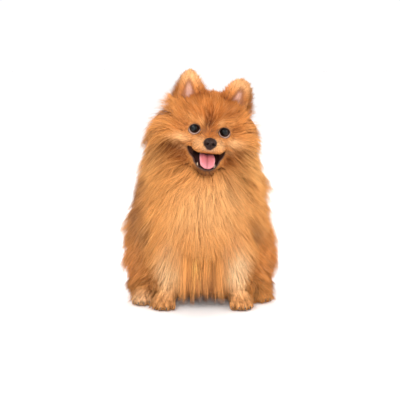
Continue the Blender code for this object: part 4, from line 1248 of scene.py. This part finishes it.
HANGING = 4600
where = trunk_zone & (np.abs(side_of - 0.003) < 0.032) & (fronts > -0.150) & (fronts < -0.055)
where &= (middles[:, 2] < 0.125) & (middles[:, 2] > 0.020)
root, spot, _ = sampled(where, HANGING)
depth, out = field(root, FLESH_FORMS, 1.0)
guides = chance.permutation(HANGING)[:640]
near_guide = nearest(root, root[guides])
tip_height = chance.uniform(0.001, 0.036, len(guides))[near_guide] + 0.010 * chance.random(HANGING)
steps = np.linspace(0, 1, WALK + 1)[None, :, None]
out = unit(out * (0.45, 1, 1))
path = root[:, None] + out[:, None] * (-0.6 * depth)[:, None, None] * (1 - np.exp(-3 * steps))
drop = (path[:, 0, 2] - tip_height)[:, None] * steps[:, :, 0]**1.1
path[:, :, 2] = np.maximum(path[:, :1, 2] - drop, FLOOR)
path[:, :, :2] += 0.006 * steps * chance.normal(size=(len(guides), 1, 2))[near_guide]
path[:, :, :2] += 0.0035 * steps**2 * chance.normal(size=(HANGING, 1, 2))
path = path + (path[guides][near_guide] - path) * 0.55 * steps**1.6
spots = [along_path(path, share) for share, _ in TUFT_RINGS] + [path[:, -1]]
shade = (1 + 0.30 * chance.normal(size=len(guides)))[near_guide] * (1 + 0.15 * chance.normal(size=HANGING))
tint = np.stack([marks_and_shade(spot) for spot in spots], 1) * shade[:, None, None]
piece = tufts("coat_belly", path, unit(out * (1, 1, 0) + (0, -0.2, 0)), np.full(HANGING, 0.00075),
              tint, spot, coat_finish.material, 0.9)
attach(piece, "root")

# Studio
# The dog sits on a plain pale floor in front of a white ground. A large soft light stands high
# at the front, weaker ones fill the sides, and one behind edges the coat.

bpy.ops.mesh.primitive_plane_add(size=16.0)
floor = bpy.context.object
floor.name = floor.data.name = "floor"
Finish("floor", Base_Color=(0.94, 0.925, 0.92, 1), Roughness=0.17).on(floor)
floor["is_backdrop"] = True
world = bpy.data.worlds.new("studio")
world.use_nodes = True
world.node_tree.nodes["Background"].inputs["Color"].default_value = (1, 1, 1, 1)
world.node_tree.nodes["Background"].inputs["Strength"].default_value = 1.03
bpy.context.scene.world = world
MIDDLE = Vector((0, -0.05, 0.15))
# Each light's place, width, height and power
LIGHTS = {
    "key": ((-0.9, -1.6, 1.9), 1.0, 1.0, 34),
    "fill": ((1.6, -1.2, 0.9), 1.2, 1.2, 13),
    "catch": ((0.06, -2.1, 0.80), 0.18, 0.18, 20),
    "rim_right": ((-1.1, 1.3, 1.3), 0.9, 0.9, 16),
    "rim_left": ((1.2, 1.2, 1.2), 0.9, 0.9, 16),
}
for name, (place, wide, high, power) in LIGHTS.items():
    bpy.ops.object.light_add(type="AREA", location=place)
    light = bpy.context.object
    light.name = light.data.name = name
    light.data.shape = "RECTANGLE"
    light.data.size, light.data.size_y = wide, high
    light.data.energy = power
    light.rotation_euler = (MIDDLE - Vector(place)).to_track_quat("-Z", "Y").to_euler()
bpy.context.scene.view_settings.view_transform = "Standard"

# Camera
# It stands 2 m off at the height of the dog's head and looks a little down, as in the photo.

TARGET = Vector((0, -0.086, 0.149))
CAMERA_BACK = Vector((0, -math.cos(math.radians(8)), math.sin(math.radians(8))))
bpy.ops.object.camera_add(location=TARGET + 2.0 * CAMERA_BACK)
camera = bpy.context.object
camera.rotation_euler = (-CAMERA_BACK).to_track_quat("-Z", "Y").to_euler()
camera.data.lens = 120
camera.data.sensor_width = 36
bpy.context.scene.camera = camera

# Size
# The visual model's box is measured.

bpy.context.view_layer.update()
low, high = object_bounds()
